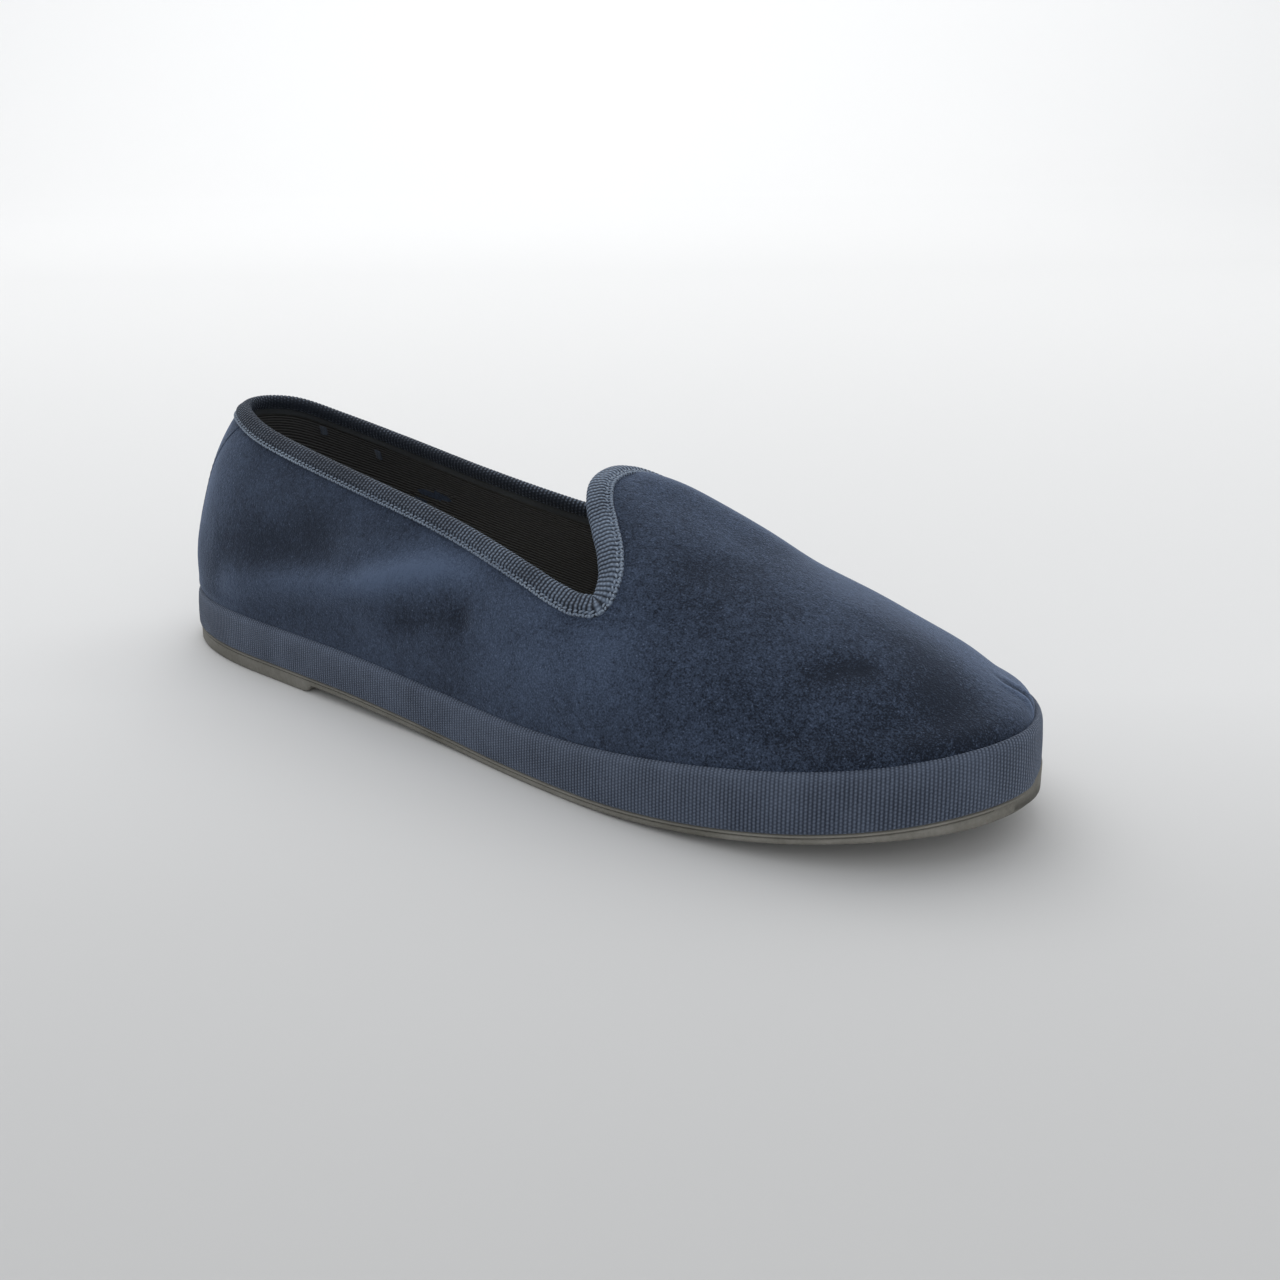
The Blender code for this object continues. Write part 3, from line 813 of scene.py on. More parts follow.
@dataclass(frozen=True)
class Plain:
    """A plain finish with a grain: moulded rubber, board, sock cloth or thread."""

    name: str
    colour: str
    shade: str
    roughness: float = 0.7
    grain_mm: float = 0.8
    bump_mm: float = 0.15
    sheen: float = 0.0
    level: float = 0.3

    def material(self) -> Material:
        """Two near colours mixed by a fine grain over a slow mottle; the grain is also the bump.

        Returns:
            The material.
        """
        material, shader = new_material(
            self.name,
            {"Roughness": self.roughness, "Specular IOR Level": self.level, "Sheen Weight": self.sheen},
        )
        tree = material.node_tree
        place = add_node(tree, "TexCoord").outputs["Object"]
        cells = {"Vector": place, "Scale": 1 / (self.grain_mm * MM), "Detail": 4.0, "Roughness": 0.65}
        grain = add_node(tree, "TexNoise", cells)
        mottle = add_node(tree, "TexNoise", {"Vector": place, "Scale": 60.0, "Detail": 3.0})
        both = add_node(tree, "Math", {0: grain, 1: 0.5, 2: mottle}, operation="MULTIPLY_ADD")
        share = add_node(tree, "MapRange", {0: both, 1: 0.55, 2: 0.95, 3: 0.0, 4: 1.0})
        pair = {0: share, 6: linear(self.shade), 7: linear(self.colour)}
        colour = add_node(tree, "Mix", pair, data_type="RGBA")
        bump = add_node(tree, "Bump", {"Strength": 0.5, "Distance": self.bump_mm * MM, "Height": grain})
        set_inputs(tree, shader, {"Base Color": colour.outputs[2], "Normal": bump})
        return material


def spun_thread(name: str, colour: str, shade: str, roughness: float = 0.6) -> Plain:
    """Spun polyester thread: a soft gloss over a hairy twist that is only just seen."""
    return Plain(name, colour, shade, roughness, grain_mm=0.3, bump_mm=0.05, sheen=0.3)


# Moulded rubber is dull and faintly pocked
RUBBER = Plain("moulded_crepe_rubber", "#82807a", "#66645d", roughness=0.7, grain_mm=0.9, bump_mm=0.2)
# Pressed board shows a matt, slightly fibrous edge
BOARD = Plain("pale_midsole_edge", "#87857e", "#6f6d67", roughness=0.8, grain_mm=0.6, bump_mm=0.2)
# Natural cotton is flat cream with a woven unevenness
SOCK = Plain(
    "natural_cotton_sock", "#b9ae96", "#a3987f", roughness=0.9, grain_mm=0.7, bump_mm=0.25, sheen=0.2
)
THREAD = spun_thread("spun_polyester_thread", "#8795a6", "#647184", roughness=0.55)
DARK_THREAD = spun_thread("spun_navy_thread", "#303a4c", "#1f2634")
TACK_THREAD = spun_thread("spun_slate_thread", "#465160", "#303947")
# Painted shade: a flat, plain woven, charcoal tape almost without gloss, laid inside the collar where the
# inside of the fold lies in shadow
PAINTED_SHADE_FACING = Plain(
    "painted_shade_facing_tape", "#43494f", "#32363b", roughness=0.85, grain_mm=0.5, bump_mm=0.15, sheen=0.1
)


@dataclass
class Sheet:
    """A grid of points, rows by columns, wrapped round in one or both directions."""

    points: Array
    wrap_rows: bool = True
    wrap_columns: bool = True
    # Length that each column stands for in the UV map; measured on the sheet where it is None
    step: Optional[float] = None

    def quads(self) -> Tuple[Array, Array, Array]:
        """Numbers the quads of the grid.

        Returns:
            Four corner numbers a quad, and the row and the column of each one's first corner.
        """
        rows, columns = self.points.shape[:2]
        r, c = np.meshgrid(
            np.arange(rows if self.wrap_rows else rows - 1),
            np.arange(columns if self.wrap_columns else columns - 1),
            indexing="ij",
        )
        r, c = r.ravel(), c.ravel()
        below, beside = (r + 1) % rows, (c + 1) % columns
        corners = [r * columns + c, r * columns + beside, below * columns + beside, below * columns + c]
        return np.column_stack(corners), r, c

    def uv(self, r: Array, c: Array) -> Array:
        """Distances round and across the sheet, measured on one middle row and column.

        Args:
            r: the row of each quad's first corner.
            c: its column.

        Returns:
            Both distances in metres at the four corners of every quad, one pair a row.
        """
        closed = np.concatenate([self.points, self.points[:, :1]], axis=1)
        middle = closed[closed.shape[0] // 3]
        u = lengths_along(middle) if self.step is None else np.arange(len(middle)) * self.step
        across = self.points[:, self.points.shape[1] // 3]
        v = np.concatenate([lengths_along(across), [0.0]])
        v[-1] = v[-2] + np.linalg.norm(across[0] - across[-1])
        pairs = [(u[c], v[r]), (u[c + 1], v[r]), (u[c + 1], v[r + 1]), (u[c], v[r + 1])]
        return np.stack([np.column_stack(pair) for pair in pairs], axis=1).reshape(-1, 2)


def volume(points: Array, faces: Array) -> float:
    """Signed volume inside quads, positive where they face outwards."""
    a, b, c, d = (points[faces[:, k]] for k in range(4))
    return float(np.sum(a * np.cross(b, c)) + np.sum(a * np.cross(c, d))) / 6


def make_piece(
    name: str,
    points: Array,
    faces: Array,
    material: Material,
    uv: Optional[Array] = None,
    outward: bool = True,
) -> Piece:
    """Makes one smooth-shaded mesh object from quads.

    Args:
        name: the object's name.
        points: its points, one row each.
        faces: four corner numbers a row; a triangle repeats its last corner.
        material: its finish.
        uv: a pair for each corner of each quad.
        outward: whether a closed mesh is turned to face outwards.

    Returns:
        The object.
    """
    if outward and volume(points, faces) < 0:
        faces = faces[:, ::-1]
        uv = None if uv is None else uv.reshape(-1, 4, 2)[:, ::-1].reshape(-1, 2)
    mesh = bpy.data.meshes.new(name)
    if np.any(faces[:, 2] == faces[:, 3]):
        sides = [tuple(f) if f[2] != f[3] else tuple(f[:3]) for f in faces.tolist()]
        mesh.from_pydata(points.tolist(), [], sides)
        uv = None
    else:
        mesh.vertices.add(len(points))
        mesh.vertices.foreach_set("co", points.astype(np.float32).ravel())
        mesh.loops.add(faces.size)
        mesh.loops.foreach_set("vertex_index", faces.astype(np.int32).ravel())
        mesh.polygons.add(len(faces))
        mesh.polygons.foreach_set("loop_start", np.arange(0, faces.size, 4, dtype=np.int32))
        mesh.polygons.foreach_set("loop_total", np.full(len(faces), 4, dtype=np.int32))
    if uv is not None:
        layer = mesh.uv_layers.new(name="UVMap")
        layer.data.foreach_set("uv", uv.astype(np.float32).ravel())
    mesh.update(calc_edges=True)
    mesh.validate()
    mesh.shade_smooth()
    mesh.materials.append(material)
    piece = bpy.data.objects.new(name, mesh)
    bpy.context.scene.collection.objects.link(piece)
    return piece


def make_sheet(name: str, sheet: Sheet, material: Material) -> Piece:
    """Makes an object from a grid of points, with distances along it as its UV map.

    Args:
        name: the object's name.
        sheet: the grid.
        material: its finish.

    Returns:
        The object.
    """
    faces, r, c = sheet.quads()
    points = sheet.points.reshape(-1, 3)
    closed = sheet.wrap_rows and sheet.wrap_columns
    return make_piece(name, points, faces, material, sheet.uv(r, c), outward=closed)


def dress(piece: Piece, slot: str, *nodes: str) -> Piece:
    """Ties a piece to the shoe's body, hides the solids that it replaces and logs its faces.

    Args:
        piece: the piece.
        slot: not used.
        nodes: the solids that it replaces, if any.

    Returns:
        The piece.
    """
    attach(piece, "root")
    if nodes:
        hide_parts(*nodes)
    LOG.info("%s: %d faces", piece.name, len(piece.data.polygons))
    return piece


def paint_tone_and_light(piece: Piece, tones: Array) -> None:
    """Writes how much paler or darker the cloth is made at each point, partly its own tone and wear and
    partly painted light and shade, for its material.
    """
    layer = piece.data.attributes.new(TONE_AND_PAINTED_LIGHT, "FLOAT", "POINT")
    layer.data.foreach_set("value", tones.astype(np.float32).ravel())


@dataclass(frozen=True)
class Crease:
    """One soft trough or ridge of the cloth, laid along a line on the last.

    Its tone is how much paler (above zero) or darker the pile is made along it: partly the nap, partly
    painted light and shade.
    """

    side: Side
    stations: Tuple[float, ...]
    rolls: Tuple[float, ...]
    depth_mm: float
    width_mm: float
    tone: float = 0.0

    def bell(self, surface: LastSurface, points: Array) -> Array:
        """How strongly the crease is felt at each point, from 0 to 1.

        It is a bell over the distance to the line, and dies out towards the line's ends.

        Args:
            surface: the last's surface.
            points: where it is read.

        Returns:
            The strengths.
        """
        knots = np.linspace(0, 1, len(self.stations))
        t = np.linspace(0, 1, 20)
        x = surface.last.place(hermite(knots, np.array(self.stations), t))
        line = surface.points(surface.chart(x, hermite(knots, np.array(self.rolls), t), self.side))
        near, best = np.full(len(points), np.inf), np.zeros(len(points))
        for k, (start, end) in enumerate(zip(line[:-1], line[1:])):
            way = end - start
            along = np.clip((points - start) @ way / (way @ way), 0, 1)
            gap = np.linalg.norm(points - start - along[:, None] * way, axis=1)
            closer = gap < near
            near, best = np.where(closer, gap, near), np.where(closer, (k + along) / (len(line) - 1), best)
        bell = np.exp(-((near / (self.width_mm * MM)) ** 2))
        return bell * np.sin(np.pi * np.clip(best, 0.01, 0.99)) ** 0.7


CREASES = (
    # side, stations and rolls of the line, depth and width in millimetres, tone; the tones are partly the
    # pile's nap and partly painted highlight on ridges and painted shade in hollows
    # The pinch of the pile at the inner side of the toe: two thin ridges with a fold between, painted paler
    # on the ridges as painted highlight and darker in the fold as painted shade
    Crease(Side.MEDIAL, (0.981, 0.983, 0.987, 0.992), (0.56, 0.69, 0.81, 0.93), 0.6, 1.0, 0.9),
    Crease(Side.MEDIAL, (0.970, 0.973, 0.978, 0.984), (0.58, 0.71, 0.83, 0.94), 0.4, 1.0, 0.6),
    Crease(Side.MEDIAL, (0.976, 0.979, 0.983, 0.988), (0.57, 0.70, 0.82, 0.94), -0.6, 1.0, -0.8),
    # The slack of the outer quarter: a fold painted pale as painted highlight from the back of the band up
    # towards the collar, the hollow above it painted dark as painted shade behind the heel, and the dimple
    # before it
    Crease(
        Side.LATERAL,
        (0.100, 0.180, 0.260, 0.339, 0.398, 0.461),
        (0.91, 0.86, 0.81, 0.76, 0.69, 0.62),
        1.4,
        3.9,
        0.5,
    ),
    Crease(Side.LATERAL, (0.335, 0.385, 0.430, 0.475, 0.525), (0.75, 0.70, 0.65, 0.61, 0.58), 0.8, 4.6, 0.75),
    Crease(Side.LATERAL, (0.095, 0.150, 0.20, 0.26, 0.32), (0.80, 0.77, 0.74, 0.70, 0.66), -1.9, 7.0, -0.3),
    Crease(Side.LATERAL, (0.380, 0.420, 0.460, 0.505), (0.84, 0.81, 0.77, 0.73), -0.8, 3.4, -0.25),
    Crease(Side.LATERAL, (0.478, 0.492, 0.500), (0.71, 0.74, 0.78), -0.5, 3.4, -0.3),
    Crease(Side.LATERAL, (0.186, 0.270, 0.363), (0.93, 0.89, 0.84), -0.6, 3.5, 0.0),
    Crease(Side.LATERAL, (0.320, 0.351, 0.420, 0.473), (0.63, 0.63, 0.60, 0.57), 0.5, 4.5, 0.15),
    # Painted shade along the heel's edge, against the sheen at grazing angles there
    Crease(Side.LATERAL, (0.002, 0.025, 0.060, 0.110), (0.70, 0.82, 0.90, 0.86), 1.2, 9.0, -0.9),
    # Painted light and shade with the nap: pile paler below the notch and over the ball, darker towards the
    # band and round the toe
    Crease(Side.LATERAL, (0.50, 0.58, 0.66, 0.74), (0.80, 0.77, 0.70, 0.60), 0.3, 13.0, 0.4),
    Crease(Side.LATERAL, (0.52, 0.57, 0.62), (0.66, 0.64, 0.60), 0.3, 5.0, 0.3),
    Crease(Side.LATERAL, (0.66, 0.70, 0.74), (0.62, 0.55, 0.44), -0.5, 5.5, 0.0),
    Crease(Side.LATERAL, (0.86, 0.90, 0.93), (0.50, 0.42, 0.36), -0.5, 4.0, -0.3),
    Crease(Side.LATERAL, (0.84, 0.92, 0.97, 0.99), (0.84, 0.78, 0.72, 0.50), 0.0, 8.0, -0.25),
    Crease(Side.LATERAL, (0.955, 0.978, 0.990, 0.995), (0.62, 0.52, 0.36, 0.10), 0.0, 8.0, -0.5),
    Crease(Side.LATERAL, (0.915, 0.931, 0.945), (0.41, 0.39, 0.36), -0.2, 2.6, -0.4),
    Crease(Side.LATERAL, (0.70, 0.74, 0.78), (0.30, 0.22, 0.18), -0.3, 5.0, -0.15),
    # The vamp swells up just before the tab
    Crease(Side.MEDIAL, (0.592, 0.61, 0.65, 0.72, 0.80), (0.02, 0.08, 0.13, 0.15, 0.16), 2.0, 7.0, 0.0),
    # The slack of the inner quarter, a guess in the style of the outer one
    Crease(Side.MEDIAL, (0.12, 0.22, 0.33, 0.44), (0.92, 0.84, 0.76, 0.66), 0.8, 6.0, 0.3),
    Crease(Side.MEDIAL, (0.14, 0.24, 0.36), (0.74, 0.68, 0.62), -1.1, 6.0, -0.2),
    Crease(Side.MEDIAL, (0.46, 0.54, 0.62), (0.86, 0.78, 0.70), -0.8, 5.0, -0.2),
    Crease(Side.MEDIAL, (0.66, 0.72, 0.79), (0.66, 0.58, 0.50), -0.5, 6.0, 0.1),
)


@dataclass
class Upper:
    """The velvet, its lining and the strip up the heel."""

    surface: LastSurface
    velvet: Velvet = field(default_factory=Velvet)
    lining: LiningCloth = field(default_factory=LiningCloth)
    columns: Tuple[int, int] = (140, 130)
    rows: int = 84
    velvet_thickness: float = 0.9 * MM
    strip_top: float = 17.0 * MM
    strip_foot: float = 13.0 * MM
    strip_thickness: float = 0.14 * MM
    tuck_bulge: float = 0.5 * MM
    toe_bulge: float = 1.7 * MM
    binding_leg: float = 2.2 * MM
    strip_loop: Tuple[int, int] = (22, 240)
    strip_columns: int = 73
    strip_rows: int = 64
    # How far the strip's ends run in under the tape and behind the band's lip
    strip_drop: float = 0.4 * MM
    strip_tuck: float = 1.0 * MM
    strip_tone: float = -0.12
    slow_wave: float = 0.16 * MM
    short_wave: float = 0.10 * MM
    # Rows lie closer towards the foot by this power; the first is a hair above it
    row_ease: float = 1.4
    first_share: float = 0.002
    # The share of the way up over which the softness dies out under the tape
    collar_fade: float = 0.04

    def softness(self, points: Array) -> Tuple[Array, Array]:
        """Reads the cloth's creases, slow waves and bulge over the band.

        The lift is the sum of the creases' depths times their bells and of two products of
        sines, faded out below the band's top, and a bell over the height above it is added.

        Args:
            points: points on the last.

        Returns:
            How far the cloth stands off each point, and how pale its pile is made there: partly the nap,
            partly painted light and shade.
        """
        last = self.surface.last
        lift, tone = np.zeros(len(points)), np.zeros(len(points))
        for crease in CREASES:
            bell = crease.bell(self.surface, points)
            lift, tone = lift + crease.depth_mm * MM * bell, tone + crease.tone * bell
        x, y, z = points.T / MM
        lift = lift + self.slow_wave * np.sin(x / 11.0 + z / 9.0) * np.cos(y / 8.0 - z / 13.0)
        lift = lift + self.short_wave * np.sin(x / 6.1 - z / 5.3 + y / 7.0)
        above = (points[:, 2] - last.band_top(points[:, 0])) / MM
        toe = np.clip((last.station(points[:, 0]) - 0.70) / 0.25, 0, 1)
        full = self.tuck_bulge + self.toe_bulge * toe * toe * (3 - 2 * toe)
        tuck = full * np.exp(-(((above - 1.0) / (2.4 + 1.6 * toe)) ** 2))
        free = np.clip((above + 1.0) / 3.0, 0, 1)
        return lift * free + tuck, tone

    def build(self) -> None:
        """Builds the velvet and the lining, which between them stand for the upper's wall."""
        surface = self.surface
        collar = surface.loop(Loop.COLLAR, self.columns)
        foot = surface.loop(Loop.FOOT, self.columns)
        outside, middle, inside, tones = [], [], [], []
        for share in np.linspace(0, 1, self.rows + 1) ** self.row_ease:
            chart = foot + (collar - foot) * max(share, self.first_share)
            point, _, _, normal = surface.slopes(chart)
            lift, tone = self.softness(point)
            lift = lift * np.clip((1 - share) / self.collar_fade, 0, 1)
            outside.append(point + normal * lift[:, None])
            middle.append(point + normal * (np.minimum(lift, 0) - self.velvet_thickness)[:, None])
            inside.append(point - normal * surface.last.wall)
            tones.append(tone)
        back = middle[::-6]
        cloth = make_sheet("upper_velvet", Sheet(np.array(outside + back)), self.velvet.material())
        paint_tone_and_light(cloth, np.array(tones + [np.zeros(len(collar))] * len(back)))
        dress(cloth, "velvet", "upper")
        behind = [m - 0.05 * MM * unit(m - i) for m, i in zip(middle[::3], inside[::3])]
        lining = Sheet(np.array(behind + inside[::-1]))
        dress(make_sheet("upper_lining", lining, self.lining.material()), "velvet", "upper")
        self.build_strip()

    def near_heel(self, charts: Array, points: Array, distances: Array) -> Array:
        """Chart places at signed distances round a loop from the back of the heel.

        Args:
            charts: the loop's chart places.
            points: its points in space.
            distances: how far round, lateral ones negative.

        Returns:
            The chart places.
        """
        lengths = lengths_along(points)
        return resample(charts, lengths - lengths[len(points) // 2], distances)

    def build_strip(self) -> None:
        """Builds the heel strip with soft edges, and a row of dark stitches inside each edge."""
        surface = self.surface
        last = surface.last
        collar = surface.loop(Loop.COLLAR, self.strip_loop)
        point, down, _ = surface.frame_round(collar)
        below = surface.walk(collar, down, [(self.binding_leg + self.strip_drop) / 6] * 6)[-1]
        edge = surface.loop(Loop.FOOT, self.strip_loop)
        spread = np.linspace(-1, 1, self.strip_columns)
        top = self.near_heel(below, point, spread * self.strip_top)
        foot = self.near_heel(edge, surface.points(edge), spread * self.strip_foot)
        share = np.linspace(0, 1, 160)
        low = []
        for a, b in zip(foot, top):
            rise = surface.points(a + (b - a) * share[:, None])
            low.append(np.interp(float(last.band_top(rise[0, 0])) - self.strip_tuck, rise[:, 2], share))
        low = np.array(low)
        outer, inner, seams, tones = [], [], [], []
        for way in np.linspace(0, 1, self.strip_rows):
            chart = foot + (top - foot) * (low + (1 - low) * way)[:, None]
            at, _, _, normal = surface.slopes(chart)
            soft, tone = self.softness(at)
            tones.append(tone + self.strip_tone)
            rounded = np.sqrt(np.clip(1 - np.abs(spread) ** 14, 0, 1))
            over = min(1.0, way / 0.04) * min(1.0, (1 - way) / 0.02 + 0.4)
            stand = (0.05 * MM + self.strip_thickness * rounded * over + soft)[:, None]
            outer.append(at + normal * stand)
            inner.append(at + normal * (soft - 0.25 * MM)[:, None])
            seams.append((outer[-1][[4, -5]], normal[[4, -5]]))
        self.close_strip(np.array(outer), np.array(inner), np.array(tones))
        for k, name in enumerate(("heel_seam_lateral", "heel_seam_medial")):
            line = np.array([at[k] for at, _ in seams])
            normals = np.array([n[k] for _, n in seams])
            stitches = Stitching(pitch=2.4 * MM, long=1.5 * MM, thick=0.34 * MM, sink=0.12 * MM, slant=0.0)
            dress(stitches.build(name, line, normals, DARK_THREAD.material()), "tape")

    def close_strip(self, outer: Array, inner: Array, tones: Array) -> None:
        """Joins the strip's two faces by a rim into one closed piece.

        Args:
            outer: its outer face as a grid of points.
            inner: its inner face, as many points.
            tones: how pale the pile is made at each, partly the nap and partly painted light and shade.
        """
        rows, columns = outer.shape[:2]
        faces, _, _ = Sheet(outer, False, False).quads()
        back = faces[:, ::-1] + rows * columns
        index = np.arange(rows * columns).reshape(rows, columns)
        rim = np.concatenate([index[0], index[1:, -1], index[-1, -2::-1], index[-2:0:-1, 0]])
        after = np.roll(rim, -1)
        side = np.column_stack([after, rim, rim + rows * columns, after + rows * columns])
        points = np.concatenate([outer, inner]).reshape(-1, 3)
        shell = np.vstack([faces, back, side])
        piece = make_piece("heel_strip_velvet", points, shell, self.velvet.material())
        paint_tone_and_light(piece, np.array([tones, tones]))
        dress(piece, "velvet", "heel_strip")


@dataclass(frozen=True)
class Stitching:
    """A row of short threads, each a small rounded bar lying half sunk in the cloth."""

    pitch: float
    long: float
    thick: float
    sink: float
    slant: float
    zigzag: bool = False

    def build(self, name: str, line: Array, normals: Array, material: Material) -> Piece:
        """Lays the stitches along a line.

        Each stitch is a grid of rings along its length: its radius is a half circle's height
        over the length, so both ends come down into the cloth.

        Args:
            name: the object's name.
            line: points that the row follows.
            normals: the cloth's outward normals there.
            material: the thread.

        Returns:
            The object.
        """
        lengths = lengths_along(line)
        count = int(lengths[-1] / self.pitch)
        at = (np.arange(count) + 0.5) * lengths[-1] / count
        middle, up = resample(line, lengths, at), unit(resample(normals, lengths, at))
        ahead = unit(resample(line, lengths, at + 0.2 * MM) - resample(line, lengths, at - 0.2 * MM))
        beside = unit(np.cross(up, ahead))
        turned = np.full(count, self.slant)
        if self.zigzag:
            turned[1::2] = -self.slant
        ahead = unit(ahead + beside * turned[:, None])
        beside = unit(np.cross(up, ahead))
        rings, sides = 7, 8
        t = np.linspace(-1, 1, rings)
        turn = np.arange(sides) * 2 * np.pi / sides
        radius = self.thick / 2 * np.sqrt(np.clip(1.02 - t**2, 0, 1))
        run = (t * self.long / 2)[None, :, None, None] * ahead[:, None, None, :]
        out = (radius[:, None] * np.cos(turn))[None, :, :, None] * beside[:, None, None, :]
        bow = (radius[:, None] * np.sin(turn) - self.sink + 0.1 * self.thick * (1 - t[:, None] ** 2))
        rise = bow[None, :, :, None] * up[:, None, None, :]
        points = (middle[:, None, None, :] + run + out + rise).reshape(-1, 3)
        one, _, _ = Sheet(np.zeros((rings, sides, 3)), wrap_rows=False).quads()
        caps = [[0, 1, 2, 3], [0, 3, 4, 7], [4, 5, 6, 7]]
        far = (rings - 1) * sides
        ends = [c[::-1] for c in caps] + [[v + far for v in c] for c in caps]
        whole = np.vstack([one, np.array(ends)])
        faces = (whole[None] + (np.arange(count) * rings * sides)[:, None, None]).reshape(-1, 4)
        return make_piece(name, points, faces, material)


@dataclass
class Collar:
    """The tape folded over the collar and throat, with a dark facing inside as painted shade, stitches and
    bar tacks.
    """

    surface: LastSurface
    # Its crest colour is painted highlight on the ribs and its valley colour painted shade between them
    ribbon: Grosgrain = Grosgrain(
        "navy_grosgrain_tape", "#7d8ca1", "#161d28", 1.12, rib_share=1.0, thread_mm=0.8
    )
    columns_per_rib: int = 6
    # The outer leg at the tab, and its share of that along the quarters
    leg: float = 3.9 * MM
    quarter_share: float = 0.70
    inner_leg: float = 1.1 * MM
    # Width of the dark facing tape laid inside as painted shade
    facing: float = 4.2 * MM
    stand: float = 0.5 * MM
    fold_tall: float = 1.4
    rib_height: float = 0.2 * MM
    seam_up: float = 1.25 * MM
    loops_up: float = 0.25 * MM
    thread_lift: float = 0.08 * MM
    # Height and overhang of the outer leg's edge, from its brim down to the velvet
    brim: Tuple[Tuple[float, float], ...] = ((0.42 * MM, 0.16 * MM), (0.12 * MM, 0.2 * MM))
    # Distances from the tab at which the full leg ends, and over which it narrows
    tab_end_mm: float = 62.0
    tab_fade_mm: float = 30.0
    # Painted shade: how much darker the tape is made on the quarters, round the heel and where it turns in
    quarter_shade: float = 0.27
    heel_shade: float = 0.3
    heel_from_mm: float = 80.0
    heel_fade_mm: float = 60.0
    inside_shade: float = 0.28
    # The two bar tacks of each side
    tack_stations: Tuple[float, float] = (0.088, 0.170)
    tack_rolls: Tuple[float, float] = (0.46, 0.53)
    tack_run: float = 0.04

    def build(self) -> None:
        """Builds the tape as one closed section swept round the collar, then its sewing.

        The ribs are the root of a sine's size along the collar, laid on the section's outside.
        """
        surface = self.surface
        wall = surface.last.wall
        rough = surface.points(surface.loop(Loop.COLLAR, (200, 300), even=True))
        around = float(lengths_along(np.vstack([rough, rough[:1]]))[-1])
        ribs = int(round(around / (self.ribbon.rib_mm * MM)))
        half = ribs * self.columns_per_rib // 2
        collar = surface.loop(Loop.COLLAR, (half // 4, half - half // 4), even=True)
        point, down, normal = surface.frame_round(collar)
        phase = np.arange(len(collar)) / self.columns_per_rib
        rib = (self.rib_height * np.sqrt(np.abs(np.sin(np.pi * phase))))[:, None]
        from_tab = lengths_along(np.vstack([point, point[:1]]))
        from_tab = np.minimum(from_tab, from_tab[-1] - from_tab)[:-1] / MM
        tab = np.clip((self.tab_end_mm - from_tab) / self.tab_fade_mm, 0, 1)
        legs = self.leg * (self.quarter_share + (1 - self.quarter_share) * tab)
        leg = [surface.slopes(c)[::3] for c in surface.walk(collar, down, [legs / 8] * 8)]
        face = [p + n * (self.stand + s) + n * rib for (p, n), s in zip(leg, self.puff())]
        edge_p, edge_n = leg[-1]
        brim = [edge_p + edge_n * height + down * out for height, out in self.brim]
        middle = point - normal * wall / 2
        reach = wall / 2 + self.stand
        fold = []
        for turn in np.linspace(0, np.pi, 11)[1:-1]:
            way = normal * np.cos(turn) - down * np.sin(turn) * self.fold_tall
            fold.append(middle + way * (reach + rib))
        low = [surface.slopes(c)[::3] for c in surface.walk(collar, down, [self.inner_leg / 2] * 2)]
        inner = [p - n * (wall + self.stand) - n * rib for p, n in low]
        back = [p - n * (wall - 0.2 * MM) for p, n in low[::-1]]
        under = [p - n * 0.1 * MM for p, n in leg[::2]]
        rows = brim[::-1] + face[::-1] + fold + inner + back + under
        sheet = Sheet(np.array(rows), step=self.ribbon.rib_mm * MM / self.columns_per_rib)
        tape = make_sheet("collar_tape", sheet, self.ribbon.material())
        # Painted shade on the tape: darker on the quarters, round the heel and where it turns into the fold;
        # worn is a small tone along it
        turned_in = np.clip((np.arange(len(rows)) - len(brim + face) - 4) / 4, 0, 1)
        worn = 0.08 * np.sin(from_tab / 9.0) * np.sin(from_tab / 3.7)
        heel = np.clip((from_tab - self.heel_from_mm) / self.heel_fade_mm, 0, 1)
        shaded = self.quarter_shade * (1 - tab) + self.heel_shade * heel
        paint_tone_and_light(tape, worn - shaded - self.inside_shade * turned_in[:, None] * (1 + 0.7 * (1 - tab)))
        dress(tape, "tape", "collar_binding")
        self.face(collar[::4], down[::4])
        self.sew(leg)

    def puff(self) -> Array:
        """The outer leg's section: half a sine above the seam and a narrow bell drawn in at it.

        Returns:
            How far each row stands up.
        """
        depth = np.linspace(0, self.leg, 9)
        seam = self.leg - self.seam_up
        swell = 0.35 * MM * np.sin(np.pi * np.clip(depth / seam, 0, 1))
        return swell - 0.18 * MM * np.exp(-(((depth - seam) / (0.5 * MM)) ** 2))

    def face(self, collar: Array, down: Array) -> None:
        """Builds the flat dark tape inside the collar, a dark sheet laid as painted shade where the inside of
        the fold lies in shadow.

        Args:
            collar: chart places round the collar.
            down: the headings that lead down from them.
        """
        surface = self.surface
        wall = surface.last.wall
        low = [surface.slopes(c)[::3] for c in surface.walk(collar, down, [self.facing / 8] * 8)]
        front = [p - n * (wall + 0.35 * MM) for p, n in low]
        back = [p - n * (wall - 0.15 * MM) for p, n in low]
        front[-1] = low[-1][0] - low[-1][1] * (wall + 0.2 * MM)
        sheet = Sheet(np.array(front[1:] + back[:0:-1]))
        dress(make_sheet("collar_painted_shade_facing", sheet, PAINTED_SHADE_FACING.material()), "tape", "collar_binding")

